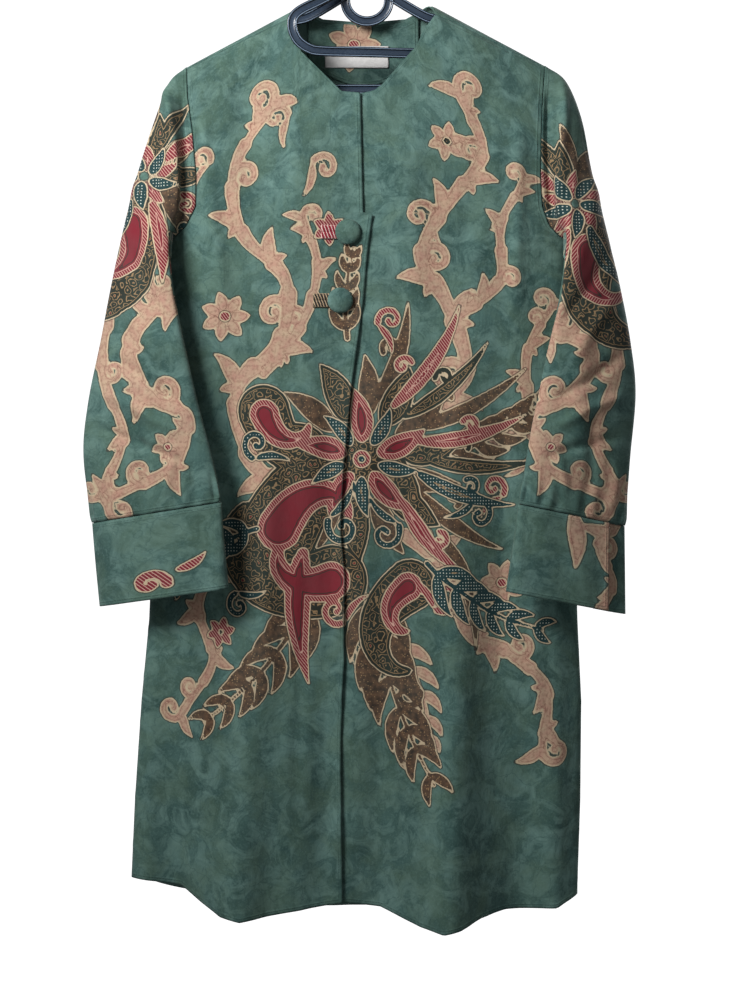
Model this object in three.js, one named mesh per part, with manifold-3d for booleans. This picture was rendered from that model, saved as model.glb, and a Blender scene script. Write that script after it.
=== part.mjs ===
// A batik tunic that hangs on a moulded plastic hanger. Millimetres, +Z up, the front faces -Y.
// The origin is the inside top of the hanger's hook, where it rests on a rail.
import * as THREE from "three";
import { mergeVertices } from "three/addons/utils/BufferGeometryUtils.js";
import Module from "manifold-3d";

const wasm = await Module();
wasm.setup();

// ---- Driving dimensions -------------------------------------------------------------------
const CLOTH = 1.6; // wall of one layer of cloth
const CUFF_CLOTH = 2.2; // a cuff is two layers, pressed flat
const TRIM_CLOTH = 1.1; // neck facing, label and buttonhole lips
const SEAM_GAP = 0.3;
const LAYER_GAP = 0.45; // air between a panel and what lies on it

const NECK_HALF = 70; // from the centre to where the shoulder slope starts
const NECK_RIDGE_Z = -80; // height of the shoulder ridge at the neck
const SHOULDER_SLOPE = 0.535;
const UNDERARM_Z = -330;
const UNDERARM_HALF = 214;
const TAB_TOP_Z = -301; // the front edge steps out here, above the upper button
const TAB_STEP = 2.5;

const BODY_DEPTH = 32; // from the middle plane to the front, or to the back
const RIDGE_ROUNDNESS = 60; // length over which the depth grows below the shoulder ridge
const SECTION_POWER = 2.5; // 2 is an ellipse, more is a boxier section
const UNDERLAP = 28; // what the left front hides under the right one
const UNDERLAP_EASE = 26;

const BUTTON_RADIUS = 13.4;
const BUTTON_HEIGHT = 7.5;
const BUTTONHOLE = { length: 30, height: 14.5 };
const LABEL = { left: -45, right: 23, top: -119, bottom: -142 };

const BAND = { tall: 10.5, deep: 5, chamfer: 1.4 }; // the hanger's moulded band
const HOOK_RADIUS = 20.5;
const HOOK_WIRE = 3.5;

// ---- Tables -------------------------------------------------------------------------------
// Half width of the body at each height, wearer's right side and left side. The hem sways.
const SIDE_SEAM = [
  { z: -330, right: -214, left: 214 },
  { z: -730, right: -231, left: 223 },
  { z: -815, right: -239, left: 227 },
  { z: -920, right: -246, left: 226 },
  { z: -1010, right: -250, left: 223 },
];

// The armhole seam, seen from the front, from the shoulder down to the underarm.
const ARMHOLE = [
  { z: -140, right: -191, left: 188 },
  { z: -178, right: -189, left: 185 },
  { z: -213, right: -184, left: 183.5 },
  { z: -262, right: -179.5, left: 182.5 },
  { z: -294, right: -180, left: 184.5 },
  { z: -314, right: -190, left: 192 },
  { z: -325, right: -202, left: 203 },
  { z: -330, right: -214, left: 214 },
];

// The neckline of the two fronts, between the shoulder seams: slanted edges and a flat base.
const NECKLINE = [
  { x: -80, z: -94.5 },
  { x: -70, z: -130 },
  { x: -45, z: -155 },
  { x: -27, z: -173 },
  { x: -7, z: -175 },
  { x: 8, z: -172 },
  { x: 17, z: -165 },
  { x: 39, z: -139 },
  { x: 51, z: -126 },
  { x: 62, z: -104 },
  { x: 72, z: -90.5 },
];

// How far past the ridge the top edge of the back lies, as the root of the drop in mm.
// Positive is behind the ridge, negative in front of it, where the shoulder seams lie.
const BACK_TOP = [
  { x: -191, root: -1.35 },
  { x: -80, root: -2.9 },
  { x: -73, root: 0 },
  { x: -64, root: 2.2 },
  { x: -47, root: 3.4 },
  { x: -3, root: 3.9 },
  { x: 41, root: 3.4 },
  { x: 56, root: 2.2 },
  { x: 65, root: 0 },
  { x: 72, root: -2.9 },
  { x: 191, root: -1.35 },
];

// The free edge of the right front, which lies on the left front.
const OVERLAP_EDGE = [
  { z: -174, x: -7 },
  { z: TAB_TOP_Z, x: -4 },
  { z: TAB_TOP_Z - TAB_STEP, x: 6 },
  { z: -342, x: 0.5 },
  { z: -394, x: -4 },
  { z: -440, x: -10 },
  { z: -484, x: -16 },
  { z: -562, x: -23 },
  { z: -630, x: -27 },
  { z: -682, x: -23 },
  { z: -772, x: -23 },
  { z: -850, x: -27 },
  { z: -1030, x: -25.5 },
];

// The hem, front and back.
const HEM_FRONT = [
  { x: -250, z: -1002 },
  { x: -196, z: -1009 },
  { x: -175, z: -1025 },
  { x: -154, z: -1039 },
  { x: -133, z: -1044 },
  { x: -70, z: -1034 },
  { x: -25, z: -1026 },
  { x: 14, z: -1030 },
  { x: 56, z: -1049 },
  { x: 80, z: -1056 },
  { x: 98, z: -1052 },
  { x: 119, z: -1041 },
  { x: 145, z: -1034 },
  { x: 200, z: -1033 },
  { x: 226, z: -1018 },
];
const HEM_BACK = [
  { x: -250, z: -1002 },
  { x: -150, z: -1030 },
  { x: 0, z: -1038 },
  { x: 130, z: -1032 },
  { x: 226, z: -1018 },
];

// Folds that grow towards the hem. Positive amounts stand out of the garment.
const FOLDS_FRONT = [
  { x: -133, width: 34, amount: 26, from: -560 },
  { x: -195, width: 24, amount: -9, from: -640 },
  { x: -62, width: 28, amount: -5, from: -700 },
  { x: 82, width: 38, amount: 34, from: -520 },
  { x: 148, width: 26, amount: -12, from: -640 },
  { x: 12, width: 26, amount: -6, from: -640 },
];
const FOLDS_BACK = [
  { x: -140, width: 38, amount: 22, from: -520 },
  { x: -62, width: 34, amount: -13, from: -560 },
  { x: 16, width: 42, amount: 24, from: -480 },
  { x: 88, width: 32, amount: -12, from: -560 },
  { x: 150, width: 34, amount: 16, from: -560 },
];

// A row for each ring of a sleeve: its outer point, its inner point, the depth of each, how far
// the cloth bulges forwards and backwards, and how much of the armhole's own shape is left.
const RIGHT_SLEEVE = [
  { ox: -190, oz: -144, oy: 0, ix: -214, iz: -330, iy: 0, front: 0, back: 0, armhole: 1 },
  { ox: -208, oz: -160, oy: 0, ix: -219, iz: -327, iy: -7, front: 3, back: 2, armhole: 0.85 },
  { ox: -222, oz: -195, oy: 0, ix: -218, iz: -339, iy: -25, front: 8, back: 3, armhole: 0.55 },
  { ox: -238, oz: -244, oy: -2, ix: -209, iz: -364, iy: -44, front: 13, back: 6, armhole: 0.28 },
  { ox: -254, oz: -306, oy: -5, ix: -198, iz: -402, iy: -54, front: 17, back: 9, armhole: 0.1 },
  { ox: -268, oz: -372, oy: -8, ix: -188, iz: -446, iy: -58, front: 20, back: 11, armhole: 0 },
  { ox: -280, oz: -436, oy: -11, ix: -177, iz: -494, iy: -61, front: 21, back: 11, armhole: 0 },
  { ox: -293, oz: -500, oy: -13, ix: -166, iz: -536, iy: -63, front: 21, back: 11, armhole: 0 },
  { ox: -298, oz: -556, oy: -15, ix: -156, iz: -575, iy: -64, front: 20, back: 11, armhole: 0 },
  { ox: -289, oz: -627, oy: -17, ix: -151, iz: -605, iy: -64, front: 18, back: 11, armhole: 0 },
];
const LEFT_SLEEVE = [
  { ox: 190, oz: -143, oy: 0, ix: 214, iz: -330, iy: 0, front: 0, back: 0, armhole: 1 },
  { ox: 212, oz: -160, oy: 0, ix: 219, iz: -327, iy: -7, front: 3, back: 2, armhole: 0.85 },
  { ox: 228, oz: -200, oy: 0, ix: 218, iz: -339, iy: -25, front: 8, back: 3, armhole: 0.55 },
  { ox: 238, oz: -256, oy: -2, ix: 209, iz: -366, iy: -44, front: 13, back: 6, armhole: 0.28 },
  { ox: 252, oz: -316, oy: -5, ix: 198, iz: -406, iy: -54, front: 17, back: 9, armhole: 0.1 },
  { ox: 266, oz: -378, oy: -8, ix: 187, iz: -449, iy: -58, front: 20, back: 11, armhole: 0 },
  { ox: 277, oz: -438, oy: -11, ix: 178, iz: -492, iy: -61, front: 21, back: 11, armhole: 0 },
  { ox: 282, oz: -492, oy: -13, ix: 170, iz: -530, iy: -63, front: 21, back: 11, armhole: 0 },
  { ox: 276, oz: -560, oy: -15, ix: 163, iz: -572, iy: -64, front: 20, back: 11, armhole: 0 },
  { ox: 271, oz: -630, oy: -17, ix: 157, iz: -607, iy: -64, front: 18, back: 11, armhole: 0 },
];

// Each cuff carries its sleeve's last ring on down to its hem.
const CUFFS = {
  right: { ox: -281, oz: -715, oy: -17, ix: -143, iz: -695, iy: -66, front: 19, back: 12 },
  left: { ox: 272, oz: -723, oy: -17, ix: 144, iz: -698, iy: -66, front: 19, back: 12 },
};
const CUFF_SLIT = { right: -40, left: 53, underlap: 14 }; // degrees round from the outer edge

// The middle line of the hanger's parts. y grows towards the back.
const FRONT_LOOP = [
  { x: 0, y: 0, z: -55 },
  { x: -28, y: -9, z: -65 },
  { x: -52, y: -19, z: -78 },
  { x: -70, y: -27, z: -88.5 },
  { x: -77.5, y: -29.5, z: -97 },
  { x: -78, y: -30, z: -109 },
  { x: -72, y: -29.5, z: -121 },
  { x: -60, y: -28, z: -129 },
  { x: -46, y: -25.5, z: -131 },
  { x: 0, y: -18, z: -131 },
  { x: 50, y: -10, z: -131 },
  { x: 66, y: -7, z: -127 },
  { x: 76, y: -4, z: -116 },
  { x: 80, y: -1, z: -100 },
];
const ARM_END = { x: 166, drop: 26 };
const LOWER_BAR_Z = -168;
const RING = { halfWidth: 23, top: -52, bottom: -96 };

// ---- Small helpers ------------------------------------------------------------------------
const lerp = THREE.MathUtils.lerp;
const clamp = THREE.MathUtils.clamp;

/** Reads a table at a key, straight between its rows, and held at both ends. */
function read(table, key, column, at) {
  const rising = table[table.length - 1][key] > table[0][key];
  const sign = rising ? 1 : -1;
  if (sign * at <= sign * table[0][key]) return table[0][column];
  for (let i = 1; i < table.length; i += 1) {
    const before = table[i - 1];
    const after = table[i];
    if (sign * at <= sign * after[key]) {
      const t = (at - before[key]) / (after[key] - before[key]);
      return lerp(before[column], after[column], t);
    }
  }
  return table[table.length - 1][column];
}

/** Reads a table of rings at a fractional row, on a smooth curve through its rows. */
function readRing(rings, row) {
  const i = Math.min(Math.floor(row), rings.length - 2);
  const t = row - i;
  const pick = (k) => rings[clamp(k, 0, rings.length - 1)];
  const ring = {};
  for (const column of Object.keys(rings[0])) {
    const [a, b, c, d] = [pick(i - 1), pick(i), pick(i + 1), pick(i + 2)].map((r) => r[column]);
    const slope0 = (c - a) / 2;
    const slope1 = (d - b) / 2;
    const t2 = t * t;
    const t3 = t2 * t;
    ring[column] = (2 * t3 - 3 * t2 + 1) * b + (t3 - 2 * t2 + t) * slope0
      + (3 * t2 - 2 * t3) * c + (t3 - t2) * slope1;
  }
  return ring;
}

const smooth = (t) => {
  const s = clamp(t, 0, 1);
  return s * s * (3 - 2 * s);
};

// ---- The body as one surface --------------------------------------------------------------
const ridgeZ = (x) => NECK_RIDGE_Z - Math.max(0, Math.abs(x) - NECK_HALF) * SHOULDER_SLOPE;

/** Half width of the closed section at a height, on the side that x lies on. */
function sectionHalf(x, z) {
  if (z > UNDERARM_Z) return UNDERARM_HALF;
  return Math.abs(read(SIDE_SEAM, "z", x < 0 ? "right" : "left", z));
}

/** How far all folds of a table move the cloth out at a place. */
function foldDepth(folds, x, z, side) {
  let depth = 0;
  for (const fold of folds) {
    const growth = clamp((fold.from - z) / (fold.from + 1040), 0, 1.1) ** 1.5;
    const away = (x - fold.x) / fold.width;
    depth += fold.amount * growth * Math.exp(-away * away);
  }
  return depth * smooth((1 - side) * 5);
}

/**
 * A point of the body's outer surface. root is the square root of the drop below the ridge,
 * positive on the back and negative on the front, so the surface is smooth over the ridge.
 */
function bodyPoint(x, root) {
  const z = ridgeZ(x) - root * root;
  const side = Math.min(Math.abs(x) / sectionHalf(x, z), 1);
  const roundness = (1 - side ** SECTION_POWER) ** (1 / SECTION_POWER);
  const depth = BODY_DEPTH * Math.tanh(Math.abs(root) / Math.sqrt(RIDGE_ROUNDNESS)) * roundness;
  const folds = root < 0 ? FOLDS_FRONT : FOLDS_BACK;
  const y = depth + foldDepth(folds, x, z, side);
  return new THREE.Vector3(x, root < 0 ? -y : y, z);
}

const frontRoot = (x, z) => -Math.sqrt(Math.max(0, ridgeZ(x) - z));
const backRoot = (x, z) => Math.sqrt(Math.max(0, ridgeZ(x) - z));

/** The direction that points out of the garment at a place of the body's surface. */
function bodyNormal(x, root) {
  const stepX = Math.abs(x) > UNDERARM_HALF - 2 ? -Math.sign(x) * 0.6 : 0.6;
  const here = bodyPoint(x, root);
  const alongX = bodyPoint(x + stepX, root).sub(here).multiplyScalar(Math.sign(stepX));
  const alongRoot = bodyPoint(x, root + 0.05).sub(here);
  return alongX.cross(alongRoot).normalize();
}

// ---- Closed walls from grids --------------------------------------------------------------
/**
 * Makes a closed wall from two grids of points, outer[row][column] and inner[row][column].
 * A wall that goes round joins its last column to its first.
 */
function wall(outer, inner, goesRound = false) {
  const rows = outer.length;
  const columns = outer[0].length;
  const positions = [...outer.flat(), ...inner.flat()].flatMap((p) => [p.x, p.y, p.z]);
  const faces = [];
  const at = (layer, row, column) => layer * rows * columns + row * columns + (column % columns);
  const quad = (a, b, c, d) => faces.push(a, b, c, a, c, d);
  const spans = goesRound ? columns : columns - 1;
  for (let r = 0; r < rows - 1; r += 1) {
    for (let c = 0; c < spans; c += 1) {
      quad(at(0, r, c), at(0, r, c + 1), at(0, r + 1, c + 1), at(0, r + 1, c));
      quad(at(1, r, c), at(1, r + 1, c), at(1, r + 1, c + 1), at(1, r, c + 1));
    }
  }
  for (let c = 0; c < spans; c += 1) {
    quad(at(0, 0, c), at(1, 0, c), at(1, 0, c + 1), at(0, 0, c + 1));
    quad(at(0, rows - 1, c), at(0, rows - 1, c + 1), at(1, rows - 1, c + 1), at(1, rows - 1, c));
  }
  for (let r = 0; r < rows - 1 && !goesRound; r += 1) {
    quad(at(0, r, 0), at(0, r + 1, 0), at(1, r + 1, 0), at(1, r, 0));
    quad(at(0, r, columns - 1), at(1, r, columns - 1), at(1, r + 1, columns - 1),
      at(0, r + 1, columns - 1));
  }
  const geometry = new THREE.BufferGeometry();
  geometry.setAttribute("position", new THREE.Float32BufferAttribute(positions, 3));
  geometry.setIndex(faces);
  return facingOut(geometry);
}

/** Turns a closed geometry's faces over if its volume comes out negative. */
function facingOut(geometry) {
  const p = geometry.getAttribute("position");
  const index = geometry.getIndex().array;
  const corner = [0, 1, 2].map(() => new THREE.Vector3());
  let volume = 0;
  for (let i = 0; i < index.length; i += 3) {
    corner.forEach((v, k) => v.fromBufferAttribute(p, index[i + k]));
    volume += corner[0].dot(corner[1].clone().cross(corner[2]));
  }
  if (volume < 0) {
    for (let i = 0; i < index.length; i += 3) {
      [index[i + 1], index[i + 2]] = [index[i + 2], index[i + 1]];
    }
  }
  geometry.computeVertexNormals();
  return geometry;
}

/** A wall that follows the body: places[row][column] = { x, root }, sunk by an amount. */
function bodyWall(places, thickness, sink = () => 0) {
  const layer = (extra) => places.map((row) => row.map(({ x, root }) => {
    const point = bodyPoint(x, root);
    return point.addScaledVector(bodyNormal(x, root), -(sink(x, point.z) + extra));
  }));
  return wall(layer(0), layer(thickness));
}

// ---- The fronts and the back --------------------------------------------------------------
const FRONT_COLUMNS = [0, 0.055, 0.11, 0.17, 0.23, 0.29, 0.345, 0.4, 0.46, 0.53, 0.6, 0.67, 0.74,
  0.81, 0.88, 0.94, 0.98, 1];
const SHARE_BELOW_TOP = [0, 0.08, 0.2, 0.36, 0.55, 0.76, 1];
const ROWS_TO_HEM = 13;

/** The outer boundary of a panel at a height: armhole above, side seam below. */
function outerEdge(z, side) {
  return z > UNDERARM_Z ? read(ARMHOLE, "z", side, z) : read(SIDE_SEAM, "z", side, z);
}

/** Height of the top edge of a front: its shoulder seam, or the neckline between them. */
function frontTop(x) {
  if (x > NECKLINE[0].x && x < NECKLINE[NECKLINE.length - 1].x) {
    return read(NECKLINE, "x", "z", x);
  }
  return ridgeZ(x) - read(BACK_TOP, "x", "root", x) ** 2 - SEAM_GAP;
}

/** Heights of one column of a panel, from its top edge down to its hem. */
function heights(top, hem) {
  const above = SHARE_BELOW_TOP.map((share) => lerp(top, TAB_TOP_Z, share));
  const armhole = [TAB_TOP_Z - TAB_STEP, -314, -325];
  const below = [];
  for (let i = 0; i <= ROWS_TO_HEM; i += 1) below.push(lerp(UNDERARM_Z, hem, i / ROWS_TO_HEM));
  return [...above, ...armhole, ...below];
}

/** Turns columns of places into rows, and marks the places that lie on the side seam. */
function toRows(columns, isOuter) {
  return columns[0].map((_, row) => columns.map((column, i) => {
    const place = column[row];
    const z = ridgeZ(place.x) - place.root ** 2;
    return { ...place, seam: isOuter(i) && z <= UNDERARM_Z + 0.01 };
  }));
}

/** A panel whose side seam edges are held half a gap away from the middle plane. */
function panelWall(places, facing, sink = () => 0) {
  const half = SEAM_GAP / 2;
  const layer = (extra) => places.map((row) => row.map(({ x, root, seam }) => {
    const point = bodyPoint(x, root);
    if (seam) return new THREE.Vector3(x - Math.sign(x) * extra, facing * half, point.z);
    point.addScaledVector(bodyNormal(x, root), -(sink(x, point.z) + extra));
    if (facing * root > 0.5) point.y = facing * Math.max(half, facing * point.y);
    return point;
  }));
  return wall(layer(0), layer(CLOTH));
}

/** One column of a front: a share of the way from its centre edge to its side. */
function frontColumn(side, centreEdge, share) {
  const xAt = (z) => lerp(centreEdge(z), outerEdge(z, side), share);
  let top = -160;
  for (let i = 0; i < 12; i += 1) top = frontTop(xAt(top));
  let hem = -1030;
  for (let i = 0; i < 12; i += 1) hem = read(HEM_FRONT, "x", "z", xAt(hem));
  return heights(top, hem).map((z) => ({ x: xAt(z), root: frontRoot(xAt(z), z) }));
}

function frontPanel(side, centreEdge, sink) {
  const columns = FRONT_COLUMNS.map((share) => frontColumn(side, centreEdge, share));
  return panelWall(toRows(columns, (i) => i === columns.length - 1), -1, sink);
}

const overlapEdge = (z) => read(OVERLAP_EDGE, "z", "x", z);
const underlapEdge = (z) => overlapEdge(z) - UNDERLAP;

/** The left front dips under the right one near the centre. */
function underlapSink(x, z) {
  const past = (x - overlapEdge(z)) / UNDERLAP_EASE;
  return (CLOTH + LAYER_GAP) * (1 - smooth(past - 0.08));
}

// Where each column of the back starts along its top edge.
const BACK_COLUMNS = [-191, -188.5, -183, -171, -155, -137, -119, -102, -90, -80, -73, -64, -55.5,
  -47, -32, -17, -3, 12, 26, 41, 48.5, 56, 65, 72, 82, 96, 114, 133, 152, 168, 180, 185.5, 188];
const WRAP_SHARES = [0, 0.35, 0.7, 1];
const WRAP_END = 4.6; // root of the drop where the back leaves the ridge's roundness

/** One column of the back: over the shoulder ridge from the front, then down to the hem. */
function backColumn(topX) {
  const side = topX < 0 ? "right" : "left";
  const share = topX / outerEdge(-140, side);
  const xAt = (z) => share * outerEdge(z, side);
  const topRoot = read(BACK_TOP, "x", "root", topX);
  let hem = -1030;
  for (let i = 0; i < 12; i += 1) hem = read(HEM_BACK, "x", "z", xAt(hem));
  const wrap = WRAP_SHARES.map((t) => ({ x: topX, root: lerp(topRoot, WRAP_END, t) }));
  const down = heights(ridgeZ(topX) - WRAP_END ** 2, hem).slice(1);
  return [...wrap, ...down.map((z) => ({ x: xAt(z), root: backRoot(xAt(z), z) }))];
}

function backPanel() {
  const columns = BACK_COLUMNS.map(backColumn);
  return panelWall(toRows(columns, (i) => i === 0 || i === columns.length - 1), 1);
}

// ---- Sleeves and cuffs --------------------------------------------------------------------
const SLEEVE_RINGS = 17;
const SLEEVE_GAP = new THREE.Vector3(0.75, 0, 0.24);

/** The point of a ring at an angle: 0 is the outer edge, 90 the front, 180 the inner edge. */
function ringPoint(ring, angle) {
  const outer = new THREE.Vector3(ring.ox, ring.oy, ring.oz);
  const inner = new THREE.Vector3(ring.ix, ring.iy, ring.iz);
  const centre = outer.clone().add(inner).multiplyScalar(0.5);
  const arm = outer.clone().sub(inner).multiplyScalar(0.5);
  const forwards = new THREE.Vector3(0, -1, 0);
  forwards.addScaledVector(arm, arm.y / arm.lengthSq()).normalize();
  const bulge = Math.sin(angle) > 0 ? ring.front : ring.back;
  return centre.addScaledVector(arm, Math.cos(angle))
    .addScaledVector(forwards, bulge * Math.sin(angle));
}

/**
 * The places round an armhole, down the front panel's edge and up the back panel's edge, each
 * with the angle that it has in a ring: 0 at the shoulder, 180 at the underarm.
 */
function armholePlaces(side) {
  const aboveUnderarm = ({ x, root }) => ridgeZ(x) - root ** 2 >= UNDERARM_Z - 0.01;
  const front = frontColumn(side, () => 0, 1).filter(aboveUnderarm);
  const back = backColumn(BACK_COLUMNS.at(side === "right" ? 0 : -1)).filter(aboveUnderarm);
  const tip = ridgeZ(back[0].x);
  return [...front, ...back.slice(0, -1).reverse()].map((place) => {
    const z = ridgeZ(place.x) - place.root ** 2;
    const angle = Math.acos(clamp((2 * (z - UNDERARM_Z)) / (tip - UNDERARM_Z) - 1, -1, 1));
    return { ...place, angle: place.root < 0 ? angle : 2 * Math.PI - angle };
  });
}

/** A ring of sleeve points: near the armhole they keep the armhole's own shape. */
function sleeveRing(rings, places, row, sink) {
  const ring = readRing(rings, row);
  const sign = Math.sign(ring.ox);
  const points = places.map(({ x, root, angle }) => {
    const rest = bodyPoint(x, root).sub(ringPoint(rings[0], angle));
    const point = ringPoint(ring, angle).addScaledVector(rest, ring.armhole);
    point.x += sign * SLEEVE_GAP.x;
    point.z += SLEEVE_GAP.z;
    return point;
  });
  if (row > 0) return sinkRing(points, sink);
  return points.map((p, i) => p.addScaledVector(bodyNormal(places[i].x, places[i].root), -sink));
}

/** Moves a closed ring of points inwards, square to its outline. */
function sinkRing(points, sink) {
  const count = points.length;
  const middle = points.reduce((sum, p) => sum.add(p), new THREE.Vector3()).divideScalar(count);
  const plane = new THREE.Vector3();
  points.forEach((p, i) => {
    const next = points[(i + 1) % count];
    plane.add(p.clone().sub(middle).cross(next.clone().sub(middle)));
  });
  plane.normalize();
  return points.map((p, i) => {
    const along = points[(i + 1) % count].clone().sub(points[(i + count - 1) % count]);
    const out = along.cross(plane).normalize();
    if (out.dot(p.clone().sub(middle)) < 0) out.negate();
    return p.clone().addScaledVector(out, -sink);
  });
}

function sleeve(rings, side) {
  const last = rings.length - 1;
  const places = armholePlaces(side);
  const layer = (sink) => {
    const grid = [];
    for (let r = 0; r <= SLEEVE_RINGS; r += 1) {
      grid.push(sleeveRing(rings, places, (r / SLEEVE_RINGS) * last, sink));
    }
    return grid;
  };
  return wall(layer(0), layer(CLOTH), true);
}

const CUFF_STEPS = 30;
const CUFF_ROWS = 3;

/** A cuff: a band that goes round once and ends under its own front end. */
function cuff(rings, hem, side) {
  const top = rings[rings.length - 1];
  const first = THREE.MathUtils.degToRad(CUFF_SLIT[side]);
  const round = 2 * Math.PI + THREE.MathUtils.degToRad(CUFF_SLIT.underlap);
  const layer = (extra) => {
    const grid = [];
    for (let r = 0; r <= CUFF_ROWS; r += 1) {
      const ring = {};
      for (const column of Object.keys(hem)) ring[column] = lerp(top[column], hem[column], r / CUFF_ROWS);
      const row = [];
      for (let i = 0; i <= CUFF_STEPS; i += 1) {
        const share = i / CUFF_STEPS;
        const angle = first + share * round;
        const under = smooth((share - 0.86) / 0.1) * (CUFF_CLOTH + LAYER_GAP);
        const point = ringPoint(ring, angle);
        const next = ringPoint(ring, angle + 0.04).sub(ringPoint(ring, angle - 0.04));
        const down = new THREE.Vector3(0, 0, -1);
        const out = next.cross(down).normalize();
        const centre = ringPoint(ring, 0).add(ringPoint(ring, Math.PI)).multiplyScalar(0.5);
        if (out.dot(point.clone().sub(centre)) < 0) out.negate();
        point.addScaledVector(out, -(under + extra));
        point.z -= 1.5 * SEAM_GAP * (1 - r / CUFF_ROWS);
        row.push(point);
      }
      grid.push(row);
    }
    return grid;
  };
  return wall(layer(0), layer(CUFF_CLOTH));
}

// ---- Trim that lies on the body -----------------------------------------------------------
/** A four-sided patch on the body between two edges, each given as a height for an x. */
function patch(left, right, topZ, bottomZ, facing, thickness, sink, columns = 10, rows = 4) {
  const places = [];
  for (let r = 0; r <= rows; r += 1) {
    const row = [];
    for (let c = 0; c <= columns; c += 1) {
      const x = lerp(left, right, c / columns);
      const z = lerp(topZ(x), bottomZ(x), r / rows);
      row.push({ x, root: facing > 0 ? backRoot(x, z) : frontRoot(x, z) });
    }
    places.push(row);
  }
  return bodyWall(places, thickness, () => sink);
}

const FACING_SINK = CLOTH + LAYER_GAP + 0.25;

/** The facing inside the back neck, with its curved lower edge. */
function backNeckFacing() {
  const [left, right] = [-63, 55];
  const middle = (left + right) / 2;
  const top = (x) => ridgeZ(x) - read(BACK_TOP, "x", "root", x) ** 2 - 2.5;
  const bottom = (x) => -161 + 26 * ((x - middle) / (right - middle)) ** 2;
  return patch(left, right, top, bottom, 1, TRIM_CLOTH, FACING_SINK, 14, 5);
}

function neckLabel() {
  const { left, right, top, bottom } = LABEL;
  const sink = FACING_SINK + TRIM_CLOTH + LAYER_GAP;
  return patch(left, right, () => top, () => bottom, 1, TRIM_CLOTH, sink, 6, 2);
}

const BUTTONS = [
  { name: "upper", x: -20, z: -321.6 },
  { name: "lower", x: -28.4, z: -393.5 },
];

function buttonholeLips({ x, z }) {
  const { length, height } = BUTTONHOLE;
  const left = x - BUTTON_RADIUS - 15;
  return patch(left, left + length, () => z + height / 2, () => z - height / 2, -1, TRIM_CLOTH,
    -(LAYER_GAP + TRIM_CLOTH), 5, 2);
}

/** A domed button: its profile starts and ends on the axis. */
function buttonGeometry() {
  const profile = [new THREE.Vector2(0, 0), new THREE.Vector2(BUTTON_RADIUS - 1.6, 0)];
  const rim = BUTTON_HEIGHT * 0.3;
  profile.push(new THREE.Vector2(BUTTON_RADIUS, rim));
  for (let i = 1; i <= 5; i += 1) {
    const angle = (i / 5) * (Math.PI / 2);
    profile.push(new THREE.Vector2(BUTTON_RADIUS * Math.cos(angle),
      rim + (BUTTON_HEIGHT - rim) * Math.sin(angle)));
  }
  profile[profile.length - 1].x = 0;
  return new THREE.LatheGeometry(profile, 20);
}

function placeButton(mesh, { x, z }) {
  const root = frontRoot(x, z);
  const normal = bodyNormal(x, root);
  const lift = LAYER_GAP * 2 + TRIM_CLOTH;
  mesh.position.copy(bodyPoint(x, root)).addScaledVector(normal, lift);
  mesh.quaternion.setFromUnitVectors(new THREE.Vector3(0, 1, 0), normal);
}

// ---- The hanger ---------------------------------------------------------------------------
/** The moulded band's section: x lies along the depth of the hanger, y across the band. */
function bandShape() {
  const { tall, deep, chamfer } = BAND;
  const shape = new THREE.Shape();
  shape.moveTo(-deep / 2, -tall / 2 + chamfer);
  shape.lineTo(-deep / 2, tall / 2 - chamfer);
  shape.lineTo(-deep / 2 + chamfer, tall / 2);
  shape.lineTo(deep / 2 - chamfer, tall / 2);
  shape.lineTo(deep / 2, tall / 2 - chamfer);
  shape.lineTo(deep / 2, -tall / 2 + chamfer);
  shape.lineTo(deep / 2 - chamfer, -tall / 2);
  shape.lineTo(-deep / 2 + chamfer, -tall / 2);
  shape.closePath();
  return shape;
}

/** A circle cut to a few sides, for the hook. */
function wireShape(radius) {
  const shape = new THREE.Shape();
  const sides = 10;
  for (let i = 0; i < sides; i += 1) {
    const angle = (i / sides) * 2 * Math.PI;
    const [u, v] = [radius * Math.cos(angle), radius * Math.sin(angle)];
    if (i === 0) shape.moveTo(u, v);
    else shape.lineTo(u, v);
  }
  shape.closePath();
  return shape;
}

function swept(shape, points, steps) {
  const path = new THREE.CatmullRomCurve3(points.map((p) => new THREE.Vector3(p.x, p.y ?? 0, p.z)));
  return new THREE.ExtrudeGeometry(shape, { steps, bevelEnabled: false, extrudePath: path });
}

/** The closed loop of band below the hook. */
function ringGeometry() {
  const { halfWidth, top, bottom } = RING;
  const outline = new THREE.Shape();
  const inside = new THREE.Path();
  const middle = (top + bottom) / 2;
  const halfTall = (top - bottom) / 2;
  outline.absellipse(0, middle, halfWidth + BAND.tall / 2, halfTall + BAND.tall / 2, 0, 2 * Math.PI);
  inside.absellipse(0, middle, halfWidth - BAND.tall / 2, halfTall - BAND.tall / 2, 0, 2 * Math.PI);
  outline.holes.push(inside);
  const geometry = new THREE.ExtrudeGeometry(outline,
    { depth: BAND.deep, bevelEnabled: false, curveSegments: 10 });
  geometry.translate(0, 0, -BAND.deep / 2);
  geometry.rotateX(Math.PI / 2);
  return geometry;
}

/** Both shoulder arms and the lower bar that joins their ends. */
function framePoints() {
  const below = (x) => ridgeZ(x) - CLOTH - SEAM_GAP - BAND.tall * 0.5 - 2.6;
  const { x: end, drop } = ARM_END;
  const arm = [
    { x: 14, z: -62 },
    { x: 38, z: -77.5 },
    { x: 62, z: -91 },
    { x: 80, z: below(80) - 1.4 },
    { x: 112, z: below(112) },
    { x: end - 12, z: below(end - 12) },
    { x: end + 4, z: below(end + 4) - 4 },
    { x: end + 3, z: below(end) - drop + 8 },
    { x: end - 14, z: LOWER_BAR_Z },
    { x: end - 40, z: LOWER_BAR_Z },
  ];
  const other = arm.map(({ x, z }) => ({ x: -x, z })).reverse();
  return [...arm, { x: 0, z: LOWER_BAR_Z }, ...other];
}

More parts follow.
